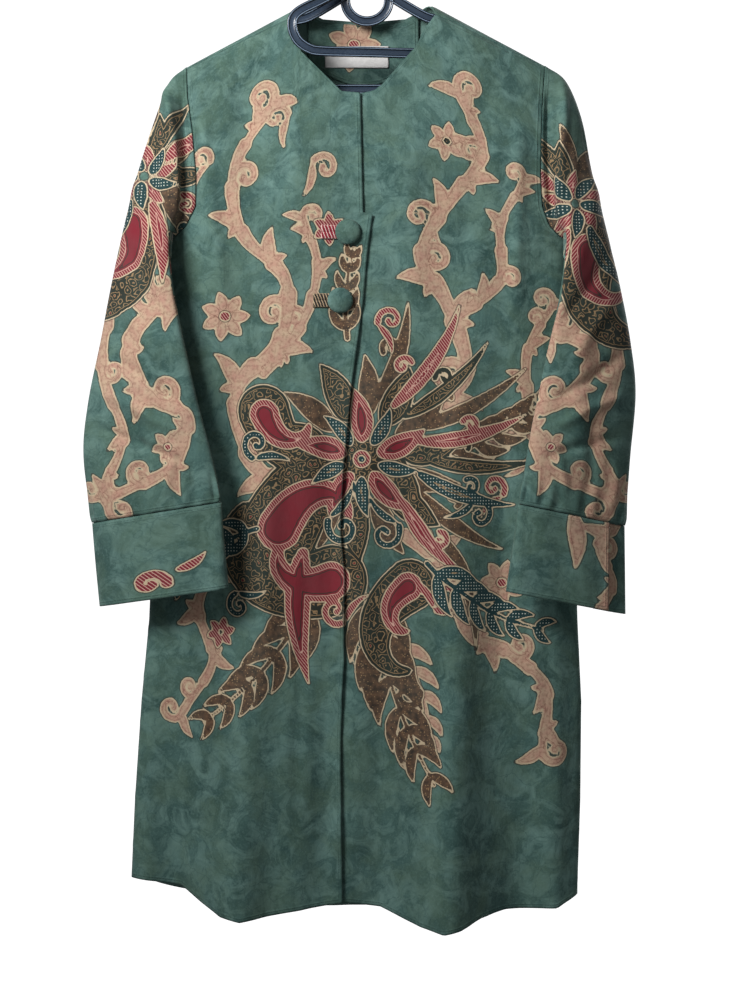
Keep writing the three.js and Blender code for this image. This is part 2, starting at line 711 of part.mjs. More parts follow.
function hookPoints() {
  const centre = -HOOK_RADIUS + HOOK_WIRE;
  const points = [{ x: 0, z: RING.top - 2 }, { x: 1, z: -46 }, { x: 9, z: -36.5 }];
  for (let i = 0; i <= 10; i += 1) {
    const angle = THREE.MathUtils.degToRad(-25 + i * 24);
    points.push({ x: HOOK_RADIUS * Math.cos(angle), z: centre + HOOK_RADIUS * Math.sin(angle) });
  }
  return points;
}

function toManifold(geometry) {
  const bare = geometry.index ? geometry.toNonIndexed() : geometry.clone();
  bare.deleteAttribute("normal");
  bare.deleteAttribute("uv");
  const merged = mergeVertices(bare, 1e-3);
  return new wasm.Manifold(new wasm.Mesh({
    numProp: 3,
    vertProperties: merged.attributes.position.array,
    triVerts: new Uint32Array(merged.index.array),
  }));
}

function fromManifold(solid) {
  const mesh = solid.simplify(0.01).getMesh();
  const geometry = new THREE.BufferGeometry();
  geometry.setAttribute("position", new THREE.Float32BufferAttribute(mesh.vertProperties, 3));
  geometry.setIndex(Array.from(mesh.triVerts));
  geometry.computeVertexNormals();
  return geometry;
}

function hangerGeometry() {
  const band = bandShape();
  const pieces = [
    ringGeometry(),
    swept(wireShape(HOOK_WIRE), hookPoints(), 26),
    swept(band, framePoints(), 52),
    swept(band, FRONT_LOOP, 30),
  ];
  return fromManifold(pieces.map(toManifold).reduce((all, piece) => all.add(piece)));
}

// ---- Materials and the group --------------------------------------------------------------
const finish = (color, roughness) => new THREE.MeshStandardMaterial({ color, roughness, metalness: 0 });
const batik = () => finish(0x4a6e60, 0.9);
const satin = () => finish(0xe9e6e2, 0.5);
const crimsonBatik = () => finish(0x8c2233, 0.9);
const darkBatik = () => finish(0x3b342c, 0.9);
const plastic = () => finish(0x2f4057, 0.35);

const tunic = new THREE.Group();

function add(name, geometry, material) {
  const mesh = new THREE.Mesh(geometry, material);
  mesh.name = name;
  tunic.add(mesh);
  return mesh;
}

add("hanger", hangerGeometry(), plastic());
add("front_right", frontPanel("right", overlapEdge, () => 0), batik());
add("front_left", frontPanel("left", underlapEdge, underlapSink), batik());
add("back", backPanel(), batik());
add("sleeve_right", sleeve(RIGHT_SLEEVE, "right"), batik());
add("sleeve_left", sleeve(LEFT_SLEEVE, "left"), batik());
add("cuff_right", cuff(RIGHT_SLEEVE, CUFFS.right, "right"), batik());
add("cuff_left", cuff(LEFT_SLEEVE, CUFFS.left, "left"), batik());
add("back_neck_facing", backNeckFacing(), batik());
add("neck_label", neckLabel(), satin());
for (const button of BUTTONS) {
  const lips = button.name === "upper" ? crimsonBatik : darkBatik;
  add(`buttonhole_${button.name}`, buttonholeLips(button), lips());
  placeButton(add(`button_${button.name}`, buttonGeometry(), batik()), button);
}

export default tunic;
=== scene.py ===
"""A batik tunic on a moulded plastic hanger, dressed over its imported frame.

Sizes are millimetres in the tables and metres in Blender. X runs to the wearer's left, Z up, and the
front of the garment faces -Y. The origin is the inside top of the hanger's hook.
"""

import logging
import math
from collections.abc import Callable
from dataclasses import dataclass, field
from enum import Enum

import bpy
import numpy as np
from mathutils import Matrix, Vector

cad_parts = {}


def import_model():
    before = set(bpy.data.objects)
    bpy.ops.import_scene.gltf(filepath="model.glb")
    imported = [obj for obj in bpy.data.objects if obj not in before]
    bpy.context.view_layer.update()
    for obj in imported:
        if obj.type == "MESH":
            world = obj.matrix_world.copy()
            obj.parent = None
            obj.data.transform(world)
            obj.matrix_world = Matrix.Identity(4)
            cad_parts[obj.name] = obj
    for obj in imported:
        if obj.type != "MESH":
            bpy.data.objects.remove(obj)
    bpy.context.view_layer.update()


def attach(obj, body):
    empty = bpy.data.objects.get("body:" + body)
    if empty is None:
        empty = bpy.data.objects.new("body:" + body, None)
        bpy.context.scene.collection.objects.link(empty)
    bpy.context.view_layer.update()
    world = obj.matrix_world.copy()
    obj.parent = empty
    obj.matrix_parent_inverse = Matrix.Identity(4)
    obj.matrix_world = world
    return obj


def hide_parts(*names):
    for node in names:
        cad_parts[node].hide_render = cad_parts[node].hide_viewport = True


LOG = logging.getLogger("tunic")
MM = 0.001
# Thickness of the cloth of the panels, the cuffs and the trims, and of the solid panels below.
CLOTH = 1.3
CUFF_CLOTH = 2.0
TRIM_CLOTH = 1.0
CAD_CLOTH = 1.6
# Gaps between panels that meet, at a sewn side, and between layers that lie on each other.
SEAM_GAP = 0.3
SEWN_GAP = 0.02
LAYER_GAP = 0.45
# The body's section: an oval that closes at the underarm and rounds over at the shoulder ridge.
UNDERARM_Z = -330.0
UNDERARM_HALF = 214.0
BODY_DEPTH = 32.0
RIDGE_ROUNDNESS = 60.0
SECTION_POWER = 2.5
# The shoulder ridge: its height at the neck, where it starts to fall, and how steeply.
RIDGE_TOP_Z = -80
RIDGE_FLAT = 70
RIDGE_SLOPE = 0.535
# Where the long folds are at their full depth, and how strongly creases and sway show.
FOLD_FOOT = -1040
CREASE_STRENGTH = 1.9
SWAY_STRENGTH = 1.25
# How far the left front runs on under the right one, and over what width it dips under it.
UNDERLAP = 28.0
UNDERLAP_EASE = 26.0
# Rows of a panel: above the tab corner, at the underarm, and below it.
ROWS_ABOVE = 62
ROWS_BELOW = 262
TAB_Z = -301
UNDERARM_ROWS = (-302.2, -303.5, -307, -311, -315, -319, -322, -325, -327.5)
SETTLE_ROUNDS = 14
# Starting guesses for the heights of a panel's top and hem.
TOP_GUESS = -160.0
HEM_GUESS = -1030.0
# Waves beside a seam: height, and how far they reach.
PUCKER_HEIGHT = 0.34
PUCKER_REACH = 9
BUTTON_RADIUS = 13.4
BUTTON_HEIGHT = 7.5
BUTTONS = {"upper": (-20.0, -321.6), "lower": (-28.4, -393.5)}
# Depth stored where a place lies in none of a dye's strokes.
FAR_OUTSIDE = -40.0

Array = np.ndarray
Piece = bpy.types.Object
Finish = bpy.types.Material
Socket = bpy.types.NodeSocket


def table(*rows: tuple[float, ...]) -> Array:
    """Rows of numbers, sorted by their first column, for reading with np.interp."""
    data = np.array(rows, float)
    return data[np.argsort(data[:, 0])]


# Columns: z, wearer's right side, wearer's left side.
SIDE_SEAM = table((-330, -214, 214), (-730, -231, 223), (-815, -239, 227), (-920, -246, 226),
                  (-1010, -250, 223))
ARMHOLE = table((-140, -191, 188), (-178, -189, 185), (-213, -184, 183.5), (-262, -179.5, 182.5),
                (-294, -180, 184.5), (-314, -190, 192), (-325, -202, 203), (-330, -214, 214))
# Columns: x, z.
NECKLINE = table((-80, -94.5), (-70, -130), (-45, -155), (-27, -173), (-7, -175), (8, -172),
                 (17, -165), (39, -139), (51, -126), (62, -104), (72, -90.5))
HEM_FRONT = table((-250, -1002), (-196, -1009), (-175, -1025), (-154, -1039), (-133, -1044),
                  (-70, -1034), (-25, -1026), (14, -1030), (56, -1049), (80, -1056), (98, -1052),
                  (119, -1041), (145, -1034), (200, -1033), (226, -1018))
HEM_BACK = table((-250, -1002), (-150, -1030), (0, -1038), (130, -1032), (226, -1018))
# Columns: x, root of the drop past the shoulder ridge, positive behind it.
BACK_TOP = table((-191, -1.35), (-80, -2.9), (-73, 0), (-64, 2.2), (-47, 3.4), (-3, 3.9), (41, 3.4),
                 (56, 2.2), (65, 0), (72, -2.9), (191, -1.35))
# Columns: z, x of the right front's free edge.
OVERLAP_EDGE = table((-174, -7), (-301, -4), (-303.5, 6), (-342, 0.5), (-394, -4), (-440, -10),
                     (-484, -16), (-562, -23), (-630, -27), (-682, -23), (-772, -23), (-850, -27),
                     (-1030, -25.5))
# Columns: x, width, amount, height where the fold starts.
FOLDS_FRONT = ((-133, 34, 26, -560), (-195, 24, -9, -640), (-62, 28, -5, -700), (82, 38, 34, -520),
               (148, 26, -12, -640), (12, 26, -6, -640))
FOLDS_BACK = ((-140, 38, 22, -520), (-62, 34, -13, -560), (16, 42, 24, -480), (88, 32, -12, -560),
              (150, 34, 16, -560))
# Soft creases: from x, z to x, z, half width, height out of the cloth.
CREASES_FRONT = (
    (-172, -170, -150, -420, 9, 2.2), (-128, -150, -112, -330, 14, -1.6),
    (-60, -190, -92, -460, 16, 1.5), (-150, -430, -138, -760, 11, -2.0),
    (-90, -500, -112, -860, 13, 2.2), (-45, -420, -40, -700, 10, -1.4),
    (40, -190, 60, -420, 16, 1.5), (120, -150, 104, -360, 15, -1.5), (168, -190, 150, -430, 9, 2.0),
    (30, -420, 48, -720, 12, -1.6), (96, -430, 78, -760, 12, 1.8), (150, -470, 132, -830, 12, -2.0),
    (186, -560, 176, -900, 10, 1.8), (-200, -600, -186, -930, 10, 1.6), (-20, -330, 60, -300, 10, 0.7),
    (-34, -400, 50, -380, 12, -0.7), (20, -600, 36, -960, 9, 1.4), (-60, -640, -72, -980, 9, -1.6),
)
CREASES_BACK = (
    (-150, -170, -128, -480, 14, 2.0), (-70, -140, -58, -400, 18, -1.6), (20, -150, 10, -460, 18, 1.6),
    (96, -150, 110, -420, 16, -1.8), (160, -190, 142, -520, 12, 2.0), (-110, -520, -96, -900, 12, -2.2),
    (-20, -480, -34, -880, 13, 1.8), (60, -520, 72, -930, 12, -1.8), (190, -560, 180, -930, 9, 1.6),
)
# One row for each ring of a sleeve: outer x, z, y, inner x, z, y, bulge forwards and backwards, and
# how much of the armhole's own shape is left.
RIGHT_SLEEVE = np.array((
    (-190, -144, 0, -214, -330, 0, 0, 0, 1), (-208, -160, 0, -219, -327, -7, 3, 2, .85),
    (-222, -195, 0, -218, -339, -25, 8, 3, .55), (-238, -244, -2, -209, -364, -44, 13, 6, .28),
    (-254, -306, -5, -198, -402, -54, 17, 9, .1), (-268, -372, -8, -188, -446, -58, 20, 11, 0),
    (-280, -436, -11, -177, -494, -61, 21, 11, 0), (-293, -500, -13, -166, -536, -63, 21, 11, 0),
    (-298, -556, -15, -156, -575, -64, 20, 11, 0), (-289, -627, -17, -151, -605, -64, 18, 11, 0)))
LEFT_SLEEVE = np.array((
    (190, -143, 0, 214, -330, 0, 0, 0, 1), (212, -160, 0, 219, -327, -7, 3, 2, .85),
    (228, -200, 0, 218, -339, -25, 8, 3, .55), (238, -256, -2, 209, -366, -44, 13, 6, .28),
    (252, -316, -5, 198, -406, -54, 17, 9, .1), (266, -378, -8, 187, -449, -58, 20, 11, 0),
    (277, -438, -11, 178, -492, -61, 21, 11, 0), (282, -492, -13, 170, -530, -63, 21, 11, 0),
    (276, -560, -15, 163, -572, -64, 20, 11, 0), (271, -630, -17, 157, -607, -64, 18, 11, 0)))
RIGHT_CUFF_HEM = np.array((-281, -715, -17, -143, -695, -66, 19, 12, 0), float)
LEFT_CUFF_HEM = np.array((272, -723, -17, 144, -698, -66, 19, 12, 0), float)
# Middle line of the hanger's front loop: x, y, z.
HANGER_LOOP = np.array((
    (0, 0, -55), (-28, -9, -65), (-52, -19, -78), (-70, -27, -88.5), (-77.5, -29.5, -97),
    (-78, -30, -109), (-72, -29.5, -121), (-60, -28, -129), (-46, -25.5, -131), (0, -18, -131),
    (50, -10, -131), (66, -7, -127), (76, -4, -116), (80, -1, -100)), float)
# The lights: name, place, size, power, height that they aim at, spread in degrees.
LIGHTS = (("key", (-1.0, -1.2, 0.42), 0.6, 11.6, -0.12, 100),
          ("fill", (1.6, -2.2, 0.1), 1.6, 2.0, -0.4, 180),
          ("key_behind", (1.1, 1.5, 0.42), 0.8, 13.5, -0.2, 120),
          ("fill_behind", (-1.7, 1.9, -0.2), 1.6, 4.2, -0.5, 180))


class Side(Enum):
    """The wearer's side, with the column that holds it in the tables."""

    RIGHT = 1
    LEFT = 2


# Creases of each sleeve: from x, z to x, z, half width, height out of the cloth.
SLEEVE_CREASES = {
    Side.RIGHT: (
        (-214, -150, -201, -312, 5.5, 4.6), (-200, -160, -189, -320, 6, -5.0),
        (-232, -190, -222, -352, 9, -2.6), (-246, -250, -214, -396, 9, 2.4),
        (-262, -330, -196, -432, 7, -2.2), (-270, -390, -206, -470, 8, 2.6),
        (-282, -452, -182, -508, 6, -2.6), (-288, -492, -190, -532, 6, 2.8),
        (-294, -530, -180, -562, 5, -2.4), (-240, -500, -236, -604, 6, -2.4),
        (-206, -540, -204, -602, 5, 2.4), (-272, -560, -262, -622, 5, 2.2),
        (-178, -560, -176, -600, 4, -2.0), (-222, -420, -232, -560, 11, 2.0)),
    Side.LEFT: (
        (202, -150, 205, -322, 5.5, 4.6), (192, -160, 195, -322, 5, -5.0),
        (226, -190, 218, -352, 9, -2.6), (240, -250, 212, -396, 9, 2.4),
        (258, -330, 196, -430, 7, -2.2), (268, -392, 204, -462, 8, 2.6),
        (276, -446, 186, -500, 6, -2.6), (280, -494, 188, -530, 6, 2.8),
        (274, -540, 176, -560, 5, -2.4), (238, -500, 226, -604, 6, -2.4),
        (200, -540, 200, -602, 5, 2.4), (258, -560, 252, -622, 5, 2.2),
        (222, -420, 226, -560, 11, 2.0)),
}


class Ink(Enum):
    """The dyes of the print, in the order that they lie on each other."""

    VINE = "vine"
    STIPPLE = "stipple"
    DARK = "dark"
    CRIMSON = "crimson"
    TEAL = "teal"


# ---- Numbers over arrays
def smooth(t: Array) -> Array:
    """A smooth step from 0 to 1."""
    s = np.clip(t, 0, 1)
    return s * s * (3 - 2 * s)


def unit(v: Array) -> Array:
    """Vectors of length one along the last axis."""
    return v / np.maximum(np.linalg.norm(v, axis=-1, keepdims=True), 1e-9)


def spline(points: Array, count: int) -> Array:
    """A Catmull-Rom curve through rows of points.

    Args:
        points: one row a point, any number of columns.
        count: how many rows come back.

    Returns:
        The points of the curve.
    """
    data = np.asarray(points, float)
    padded = np.vstack((2 * data[0] - data[1], data, 2 * data[-1] - data[-2]))
    at = np.linspace(0, len(data) - 1, count)
    i = np.minimum(at.astype(int), len(data) - 2)
    t = (at - i)[:, None]
    a, b, c, d = (padded[i + k] for k in range(4))
    return 0.5 * (2 * b + (c - a) * t + (2 * a - 5 * b + 4 * c - d) * t ** 2
                  + (3 * b - a - 3 * c + d) * t ** 3)


def crease_height(creases: tuple, x: Array, z: Array) -> Array:
    """How far soft creases move the cloth out at each place.

    Args:
        creases: rows of start, end, half width and height.
        x: places across the garment.
        z: heights of the places.

    Returns:
        The height of the creases in mm.
    """
    height = np.zeros_like(x)
    for x0, z0, x1, z1, width, amount in creases:
        along = np.array((x1 - x0, z1 - z0), float)
        t = ((x - x0) * along[0] + (z - z0) * along[1]) / along.dot(along)
        bend = 5 * np.sin(t * 3.1 + x0)
        away = ((x - x0) * along[1] - (z - z0) * along[0]) / math.hypot(*along) + bend
        taper = smooth(t * 4) * smooth((1 - t) * 4)
        height += amount * taper * np.exp(-(away / width) ** 2)
    return height


# ---- The body as one surface
def ridge_z(x: Array) -> Array:
    """Height of the shoulder ridge."""
    return RIDGE_TOP_Z - np.maximum(0, np.abs(x) - RIDGE_FLAT) * RIDGE_SLOPE


def outer_edge(z: Array, side: Side) -> Array:
    """Where a panel ends: its armhole above the underarm, its side seam below.

    Args:
        z: heights.
        side: the wearer's side.

    Returns:
        The x of the edge at each height.
    """
    above = np.interp(z, ARMHOLE[:, 0], ARMHOLE[:, side.value])
    below = np.interp(z, SIDE_SEAM[:, 0], SIDE_SEAM[:, side.value])
    return np.where(z > UNDERARM_Z, above, below)


def overlap_edge(z: Array) -> Array:
    """Where the right front ends on the left one."""
    return np.interp(z, OVERLAP_EDGE[:, 0], OVERLAP_EDGE[:, 1])


def fold_depth(folds: tuple, x: Array, z: Array, side: Array) -> Array:
    """How far the long folds move the cloth out at each place.

    Args:
        folds: rows of x, width, amount and the height where the fold starts.
        x: places across the garment.
        z: heights of the places.
        side: share of the way from the middle to the side seam.

    Returns:
        The depth of the folds in mm.
    """
    depth = np.zeros_like(x)
    for at, width, amount, start in folds:
        growth = np.clip((start - z) / (start - FOLD_FOOT), 0, 1.1) ** 1.5
        depth += amount * growth * np.exp(-((x - at) / width) ** 2)
    return depth * smooth((1 - side) * 5)


def body_points(x: Array, root: Array) -> Array:
    """Points of the body's outer surface.

    Args:
        x: places across the garment.
        root: root of the drop below the shoulder ridge, negative on the front.

    Returns:
        Points, with x, y and z along the last axis.
    """
    z = ridge_z(x) - root ** 2
    right = np.abs(np.interp(z, SIDE_SEAM[:, 0], SIDE_SEAM[:, 1]))
    left = np.interp(z, SIDE_SEAM[:, 0], SIDE_SEAM[:, 2])
    half = np.where(z > UNDERARM_Z, UNDERARM_HALF, np.where(x < 0, right, left))
    side = np.minimum(np.abs(x) / half, 1)
    roundness = (1 - side ** SECTION_POWER) ** (1 / SECTION_POWER)
    depth = BODY_DEPTH * np.tanh(np.abs(root) / math.sqrt(RIDGE_ROUNDNESS)) * roundness
    front = root < 0
    folds = np.where(front, fold_depth(FOLDS_FRONT, x, z, side), fold_depth(FOLDS_BACK, x, z, side))
    creases = np.where(front, crease_height(CREASES_FRONT, x, z), crease_height(CREASES_BACK, x, z))
    # Sway: slow waves across the cloth that grow towards the hem.
    low = smooth((-200 - z) / 700)
    broad = np.sin(x / 15 + 1.2 * np.sin(z / 150) + 0.6 * front)
    narrow = 0.6 * np.sin(x / 8.7 - z / 260)
    sway = (0.4 + 2.2 * low) * (broad + narrow)
    sway += 1.1 * np.sin(z / 46 + x / 60) * np.sin(x / 37 + 0.8)
    calm_edges = smooth((1 - side) * 8)
    calm_ridge = smooth(np.abs(root) / 5 - 0.5)
    drape = CREASE_STRENGTH * creases + SWAY_STRENGTH * sway
    y = depth + folds + drape * calm_edges * calm_ridge
    return np.stack((x, np.where(front, -y, y), z), -1)


def grid_normals(points: Array, wraps: bool = False) -> Array:
    """Unit normals of a grid of points, by its neighbours."""
    around = np.roll(points, -1, 1) - np.roll(points, 1, 1)
    across = around if wraps else np.gradient(points, axis=1)
    return unit(np.cross(across, np.gradient(points, axis=0)))


# ---- The print: strokes of changing width, drawn in the flat of each piece
@dataclass
class Stroke:
    """A stroke: rows of x, z and half width, and the dye that fills it."""

    ink: Ink
    path: Array


@dataclass
class Drawing:
    """A design made of strokes, and how to add its ordinary motifs."""

    strokes: list[Stroke] = field(default_factory=list)

    def add(self, ink: Ink, path: Array) -> None:
        """Adds one stroke."""
        self.strokes.append(Stroke(ink, np.asarray(path, float)))

    def curl(self, ink: Ink, x: float, z: float, size: float, turn: float, width: float,
             hand: int = 1) -> None:
        """Adds a curl that winds in from a place.

        Args:
            ink: its dye.
            x, z: where it starts.
            size: radius of its first turn.
            turn: direction it sets out in, in degrees.
            width: half width at its start.
            hand: 1 winds to the left, -1 to the right.
        """
        t = np.linspace(0, 1, 26)
        heading = np.radians(turn) + hand * t * 2 * np.pi * 1.15
        step = size * 0.3 * (1.08 - t)
        path = np.cumsum(np.stack((np.cos(heading) * step, np.sin(heading) * step), -1), 0)
        bud = width * (0.9 - 0.45 * t) + np.where(t > 0.9, width * 0.35, 0)
        self.add(ink, np.column_stack((x + path[:, 0], z + path[:, 1], bud)))

    def vine(self, points: tuple, width: float, leaves: int = 5, hand: int = 1) -> None:
        """Adds a vine with leaves and curls on both sides.

        Args:
            points: places that it runs through.
            width: half width at its foot.
            leaves: how many side shoots it has.
            hand: side of the first shoot.
        """
        ink = Ink.VINE
        path = spline(np.array(points, float), 12 * len(points))
        t = np.linspace(0, 1, len(path))
        beat = (t * len(points) * 1.35 + 0.2) % 1
        swell = width * (1 - 0.5 * t) * (0.62 + 0.5 * beat ** 1.6) + 0.6
        self.add(ink, np.column_stack((path, swell)))
        way = np.gradient(path, axis=0)
        heading = np.degrees(np.arctan2(way[:, 1], way[:, 0]))
        for k in range(leaves):
            i = int((k + 0.6) / leaves * (len(path) - 1))
            side = hand if k % 2 == 0 else -hand
            x, z = path[i]
            size = width * (1 - 0.35 * t[i])
            if k % 3 == 1:
                self.curl(ink, x, z, size * 1.7, heading[i] + side * 38, size * 0.62, side)
            else:
                self.leaf(ink, x, z, heading[i] + side * 34, size * 4.6, size * 0.86, side)
                self.leaf(ink, x, z, heading[i] + side * 96, size * 2.0, size * 0.5, side)
        self.curl(ink, *path[-1], width * 1.5, heading[-1], width * 0.52, hand)
        self.leaf(ink, *path[-1], heading[-1] - hand * 46, width * 3.4, width * 0.6, -hand)

    def leaf(self, ink: Ink, x: float, z: float, heading: float, length: float, width: float,
             bend: float = 1) -> None:
        """Adds one leaf: a stroke that swells and ends in a point.

        Args:
            ink: its dye.
            x, z: where its stalk is.
            heading: direction it sets out in, in degrees.
            length: its length in mm.
            width: its half width in mm.
            bend: how far it bends over, and to which side.
        """
        t = np.linspace(0, 1, 16)
        angle = np.radians(heading) + bend * 0.9 * (t - 0.25)
        step = length / 15
        path = np.cumsum(np.stack((np.cos(angle), np.sin(angle)), -1) * step, 0)
        swell = width * np.sin(np.pi * (0.06 + 0.94 * t) ** 0.72) + 0.3
        self.add(ink, np.column_stack((x + path[:, 0], z + path[:, 1], swell)))

    def paisley(self, ink: Ink, x: float, z: float, size: float, heading: float,
                hand: int = 1) -> None:
        """Adds a paisley: a fat drop whose tip bends over.

        Args:
            ink: its dye.
            x, z: the middle of its fat end.
            size: its breadth in mm.
            heading: direction it sets out in, in degrees.
            hand: 1 bends to the left, -1 to the right.
        """
        t = np.linspace(0, 1, 30)
        angle = np.radians(heading) + hand * (t ** 1.7) * 2.7
        step = size * 2.3 / 29
        path = np.cumsum(np.stack((np.cos(angle), np.sin(angle)), -1) * step, 0)
        swell = size * 0.46 * np.sqrt(np.clip(1 - t, 0, 1)) * (0.55 + 0.45 * np.cos(t * 1.6)) + 1.4
        self.add(ink, np.column_stack((x + path[:, 0], z + path[:, 1], swell)))

    def flower(self, ink: Ink, heart: Ink, x: float, z: float, size: float, petals: int = 6,
               turn: float = 0) -> None:
        """Adds an open flower with round petals about a heart.

        Args:
            ink: the dye of its petals.
            heart: the dye of its heart.
            x, z: its middle.
            size: its radius in mm.
            petals: how many petals it has.
            turn: direction of the first petal, in degrees.
        """
        for k in range(petals):
            heading = turn + k * 360 / petals
            away = size * 0.3
            angle = math.radians(heading)
            self.leaf(ink, x + away * math.cos(angle), z + away * math.sin(angle), heading,
                      size * 0.8, size * 0.26, 0.25)
        self.add(heart, np.array(((x - 0.5, z, size * 0.2), (x + 0.5, z, size * 0.2))))

    def spray(self, ink: Ink, x: float, z: float, heading: float, length: float, pairs: int,
              bend: float = 0.6) -> None:
        """Adds a stem with pairs of narrow leaves that shorten to its tip.

        Args:
            ink: its dye.
            x, z: where the stem starts.
            heading: direction it sets out in, in degrees.
            length: length of the stem in mm.
            pairs: how many pairs of leaves it has.
            bend: how far the stem bends, in radians.
        """
        t = np.linspace(0, 1, 20)
        angle = np.radians(heading) + bend * t
        path = np.cumsum(np.stack((np.cos(angle), np.sin(angle)), -1) * length / 19, 0) + (x, z)
        self.add(ink, np.column_stack((path, 2.6 - 1.6 * t)))
        for k in range(pairs):
            i = int((k + 0.7) / pairs * 19)
            share = 1 - 0.6 * k / pairs
            for side in (-1, 1):
                self.leaf(ink, *path[i], math.degrees(angle[i]) + side * 42, length * 0.3 * share,
                          length * 0.034 * share + 1.4, -side)

    def rosette(self, inks: tuple[Ink, Ink], x: float, z: float, radius: float, count: int,
                lengths: tuple[float, float], widths: tuple[float, float], bend: float = 0.5,
                turn: float = 0, lean: float = 0) -> None:
        """Adds a ring of leaves whose dyes and sizes take turns.

        Args:
            inks: the two dyes.
            x, z: its middle.
            radius: how far from the middle the leaves start.
            count: how many leaves it has.
            lengths: length of the leaves of each dye.
            widths: their half widths.
            bend: how far they bend over.
            turn: direction of the first leaf, in degrees.
            lean: how far each leaf is turned from its own ray, in degrees.
        """
        for k in range(count):
            heading = turn + k * 360 / count
            a = math.radians(heading)
            kind = k % 2
            self.leaf(inks[kind], x + radius * math.cos(a), z + radius * math.sin(a), heading + lean,
                      lengths[kind], widths[kind], bend)

    def depths(self, x: Array, z: Array) -> dict[Ink, Array]:
        """How deep each place lies inside each dye's strokes.

        Args:
            x: places across the drawing.
            z: heights of the places.

        Returns:
            For each dye, the depth in mm, negative outside its strokes.
        """
        flat = np.column_stack((x.ravel(), z.ravel()))
        result = {ink: np.full(len(flat), FAR_OUTSIDE) for ink in Ink}
        for stroke in self.strokes:
            path = stroke.path
            reach = path[:, 2].max() + 5
            low, high = path[:, :2].min(0) - reach, path[:, :2].max(0) + reach
            near = np.flatnonzero(np.all((flat > low) & (flat < high), axis=1))
            if len(near) == 0:
                continue
            a, b = path[:-1], path[1:]
            way = b[:, :2] - a[:, :2]
            offset = flat[near][:, None, :] - a[None, :, :2]
            t = np.clip((offset * way).sum(-1) / np.maximum((way ** 2).sum(-1), 1e-9), 0, 1)
            gap = np.linalg.norm(offset - t[..., None] * way, axis=-1)
            depth = (a[:, 2] + t * (b[:, 2] - a[:, 2]) - gap).max(1)
            result[stroke.ink][near] = np.maximum(result[stroke.ink][near], depth)
        return result


